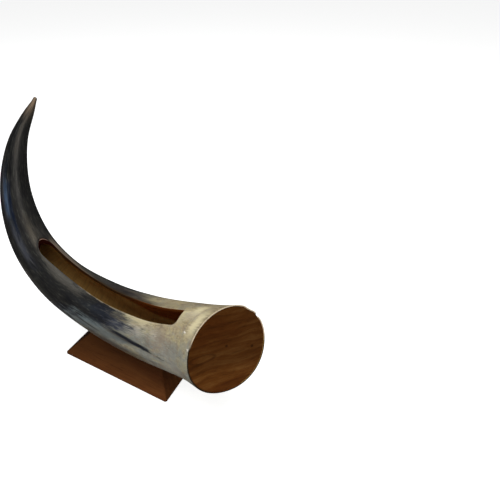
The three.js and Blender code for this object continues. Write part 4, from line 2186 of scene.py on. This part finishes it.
@dataclass
class Studio:
    """The pale floor, the soft lights and the camera."""

    lights: tuple[SoftLight, ...] = (
        SoftLight("ceiling", 0, 89, 1.6, 1.6, 1.6, 19, shows=Shows.LIGHT),
        SoftLight("front", -70, 35, 1.6, 1.0, 0.8, 4, shows=Shows.LIGHT),
        SoftLight("overhead", -95, 74, 1.2, 1.0, 0.3, 0.5, shows=Shows.GLOSS),
        SoftLight("warm_side", -10, 54, 1.2, 0.45, 0.45, 1.3, (1.0, 0.95, 0.88), Shows.GLOSS),
        SoftLight("cool_window", -128, 28, 1.3, 0.3, 0.3, 0.4, (0.5, 0.72, 1.0), Shows.GLOSS),
    )
    room_fill: float = 0.2
    room_gloss: float = 0.015
    room_colour: Colour = (0.98, 0.99, 1.0, 1.0)
    floor_glow: float = 0.72
    floor_size: float = 30.0
    floor_colour: Colour = (0.92, 0.92, 0.91, 1.0)
    floor_roughness: float = 0.9
    floor_gloss: float = 0.1
    camera_at: Triple = (246.7736, -247.5828, 400.5623)
    camera_right: Triple = (0.8758883, 0.4822951, -0.0145303)
    camera_up: Triple = (-0.2911427, 0.5522742, 0.7811716)
    focal_pixels: float = 408.635
    centre_shift: Pair = (44.143, 20.187)
    picture: float = 500.0
    sensor: float = 36.0

    def place_camera(self) -> None:
        """Adds the camera at the photograph's viewing angle."""
        data = bpy.data.cameras.new("camera")
        data.sensor_width = self.sensor
        data.lens = self.focal_pixels / self.picture * self.sensor
        data.shift_x, data.shift_y = (shift / self.picture for shift in self.centre_shift)
        data.clip_start, data.clip_end = 0.01, 20.0
        camera = put_in_scene("camera", data)
        right, up = Vector(self.camera_right).normalized(), Vector(self.camera_up).normalized()
        back = right.cross(up)
        turn = Matrix((right, up, back)).transposed().to_4x4()
        camera.matrix_world = Matrix.Translation(Vector(self.camera_at) * MM) @ turn
        bpy.context.scene.camera = camera

    def lay_floor(self) -> None:
        """Adds the plain pale floor."""
        half = self.floor_size / 2
        mesh = bpy.data.meshes.new("floor")
        corners = [(-half, -half, 0), (half, -half, 0), (half, half, 0), (-half, half, 0)]
        mesh.from_pydata(corners, [], [(0, 1, 2, 3)])
        material, board, shader = Board.material("pale_floor")
        board.wire(shader, Base_Color=self.floor_colour, Roughness=self.floor_roughness)
        path = board.node("ShaderNodeLightPath")
        glow = board.times(path.outputs["Is Camera Ray"], self.floor_glow)
        board.wire(
            shader, Specular_IOR_Level=self.floor_gloss, Emission_Color=(1, 1, 1, 1), Emission_Strength=glow
        )
        mesh.materials.append(material)
        floor = put_in_scene("floor", mesh)
        floor.visible_glossy = False

    def light_room(self) -> None:
        """Sets the dim room light and hangs the soft lights."""
        world = bpy.data.worlds.new("room")
        world.use_nodes = True
        board = Board(world.node_tree)
        background = world.node_tree.nodes["Background"]
        path = board.node("ShaderNodeLightPath")
        fill = board.times_plus(path.outputs["Is Diffuse Ray"], self.room_fill, self.room_gloss)
        board.wire(background, Color=self.room_colour, Strength=fill)
        bpy.context.scene.world = world
        for light in self.lights:
            light.hang()

    def build(self) -> None:
        """Sets the whole studio up."""
        self.place_camera()
        self.lay_floor()
        self.light_room()
        bpy.context.scene.view_settings.view_transform = "Standard"
        bpy.context.scene.view_settings.look = "None"
        LOG.info("studio: %d soft lights", len(self.lights))


def main() -> None:
    """Builds the horn, its disc, its block and the studio."""
    logging.basicConfig(level=logging.INFO, format="%(name)s: %(message)s")
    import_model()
    effects = Effects()
    shape = HornShape()
    materials = {
        HornSide.SKIN: HornSkin().build(effects),
        HornSide.CUT: CutEdge().build(effects),
        HornSide.INSIDE: HornInside().build(effects),
    }
    Horn(shape).build(materials)
    disc_wood = Teak(
        "disc_teak",
        light=srgb(130, 88, 42),
        middle=srgb(104, 59, 17),
        dark=srgb(56, 27, 4),
        warm=srgb(100, 47, 9),
        grain_along=(0.433, 0.851, -0.2975),
        pith=(0.1, 0.0, -0.06),
        knots=(
            Knot((133.9, -10.5, 97.3), 1.9, 1.3, dark=0.9),
            Knot((150.6, 14.5, 81.6), 2.1, 1.3, dark=0.9),
            Knot((122.4, -37.8, 100.2), 5.0, 4.0, outline=0.5, swell=0.75, pale=0.045),
            Knot((142.7, -2.0, 85.5), 1.1, 12.0, dark=0.4),
            Knot((121.7, -44.6, 98.2), 1.5, 6.5, dark=0.5),
            Knot((119.5, -16.9, 120.8), 1.6, 7.0, dark=0.4),
            Knot((131.2, 6.3, 113.9), 1.3, 8.0, dark=0.25),
        ),
        band_width=0.0065,
        waver=0.0045,
        band_strength=0.09,
        shaded_top=(0.012, 0.026, 0.46),
        shade_way=(-0.26, 0.495, 0.828),
        figure_length=0.5,
        contrast=0.72,
    )
    block_wood = Teak(
        "block_teak",
        light=srgb(132, 82, 42),
        middle=srgb(112, 66, 32),
        dark=srgb(44, 22, 8),
        warm=srgb(114, 60, 30),
        grain_along=(1.0, 0.03, 0.02),
        pith=(0.0, 0.07, -0.09),
        band_strength=0.08,
        shaded_top=(-0.005, 0.019, 0.58),
        shade_way=(-0.1, 0.0, 1.0),
        contrast=0.55,
        sawn_end=0.4,
    )
    MouthDisc(shape).build(disc_wood.build(effects))
    StandBlock(shape).build(block_wood.build(effects))
    Studio().build()


if __name__ == "__main__":
    main()
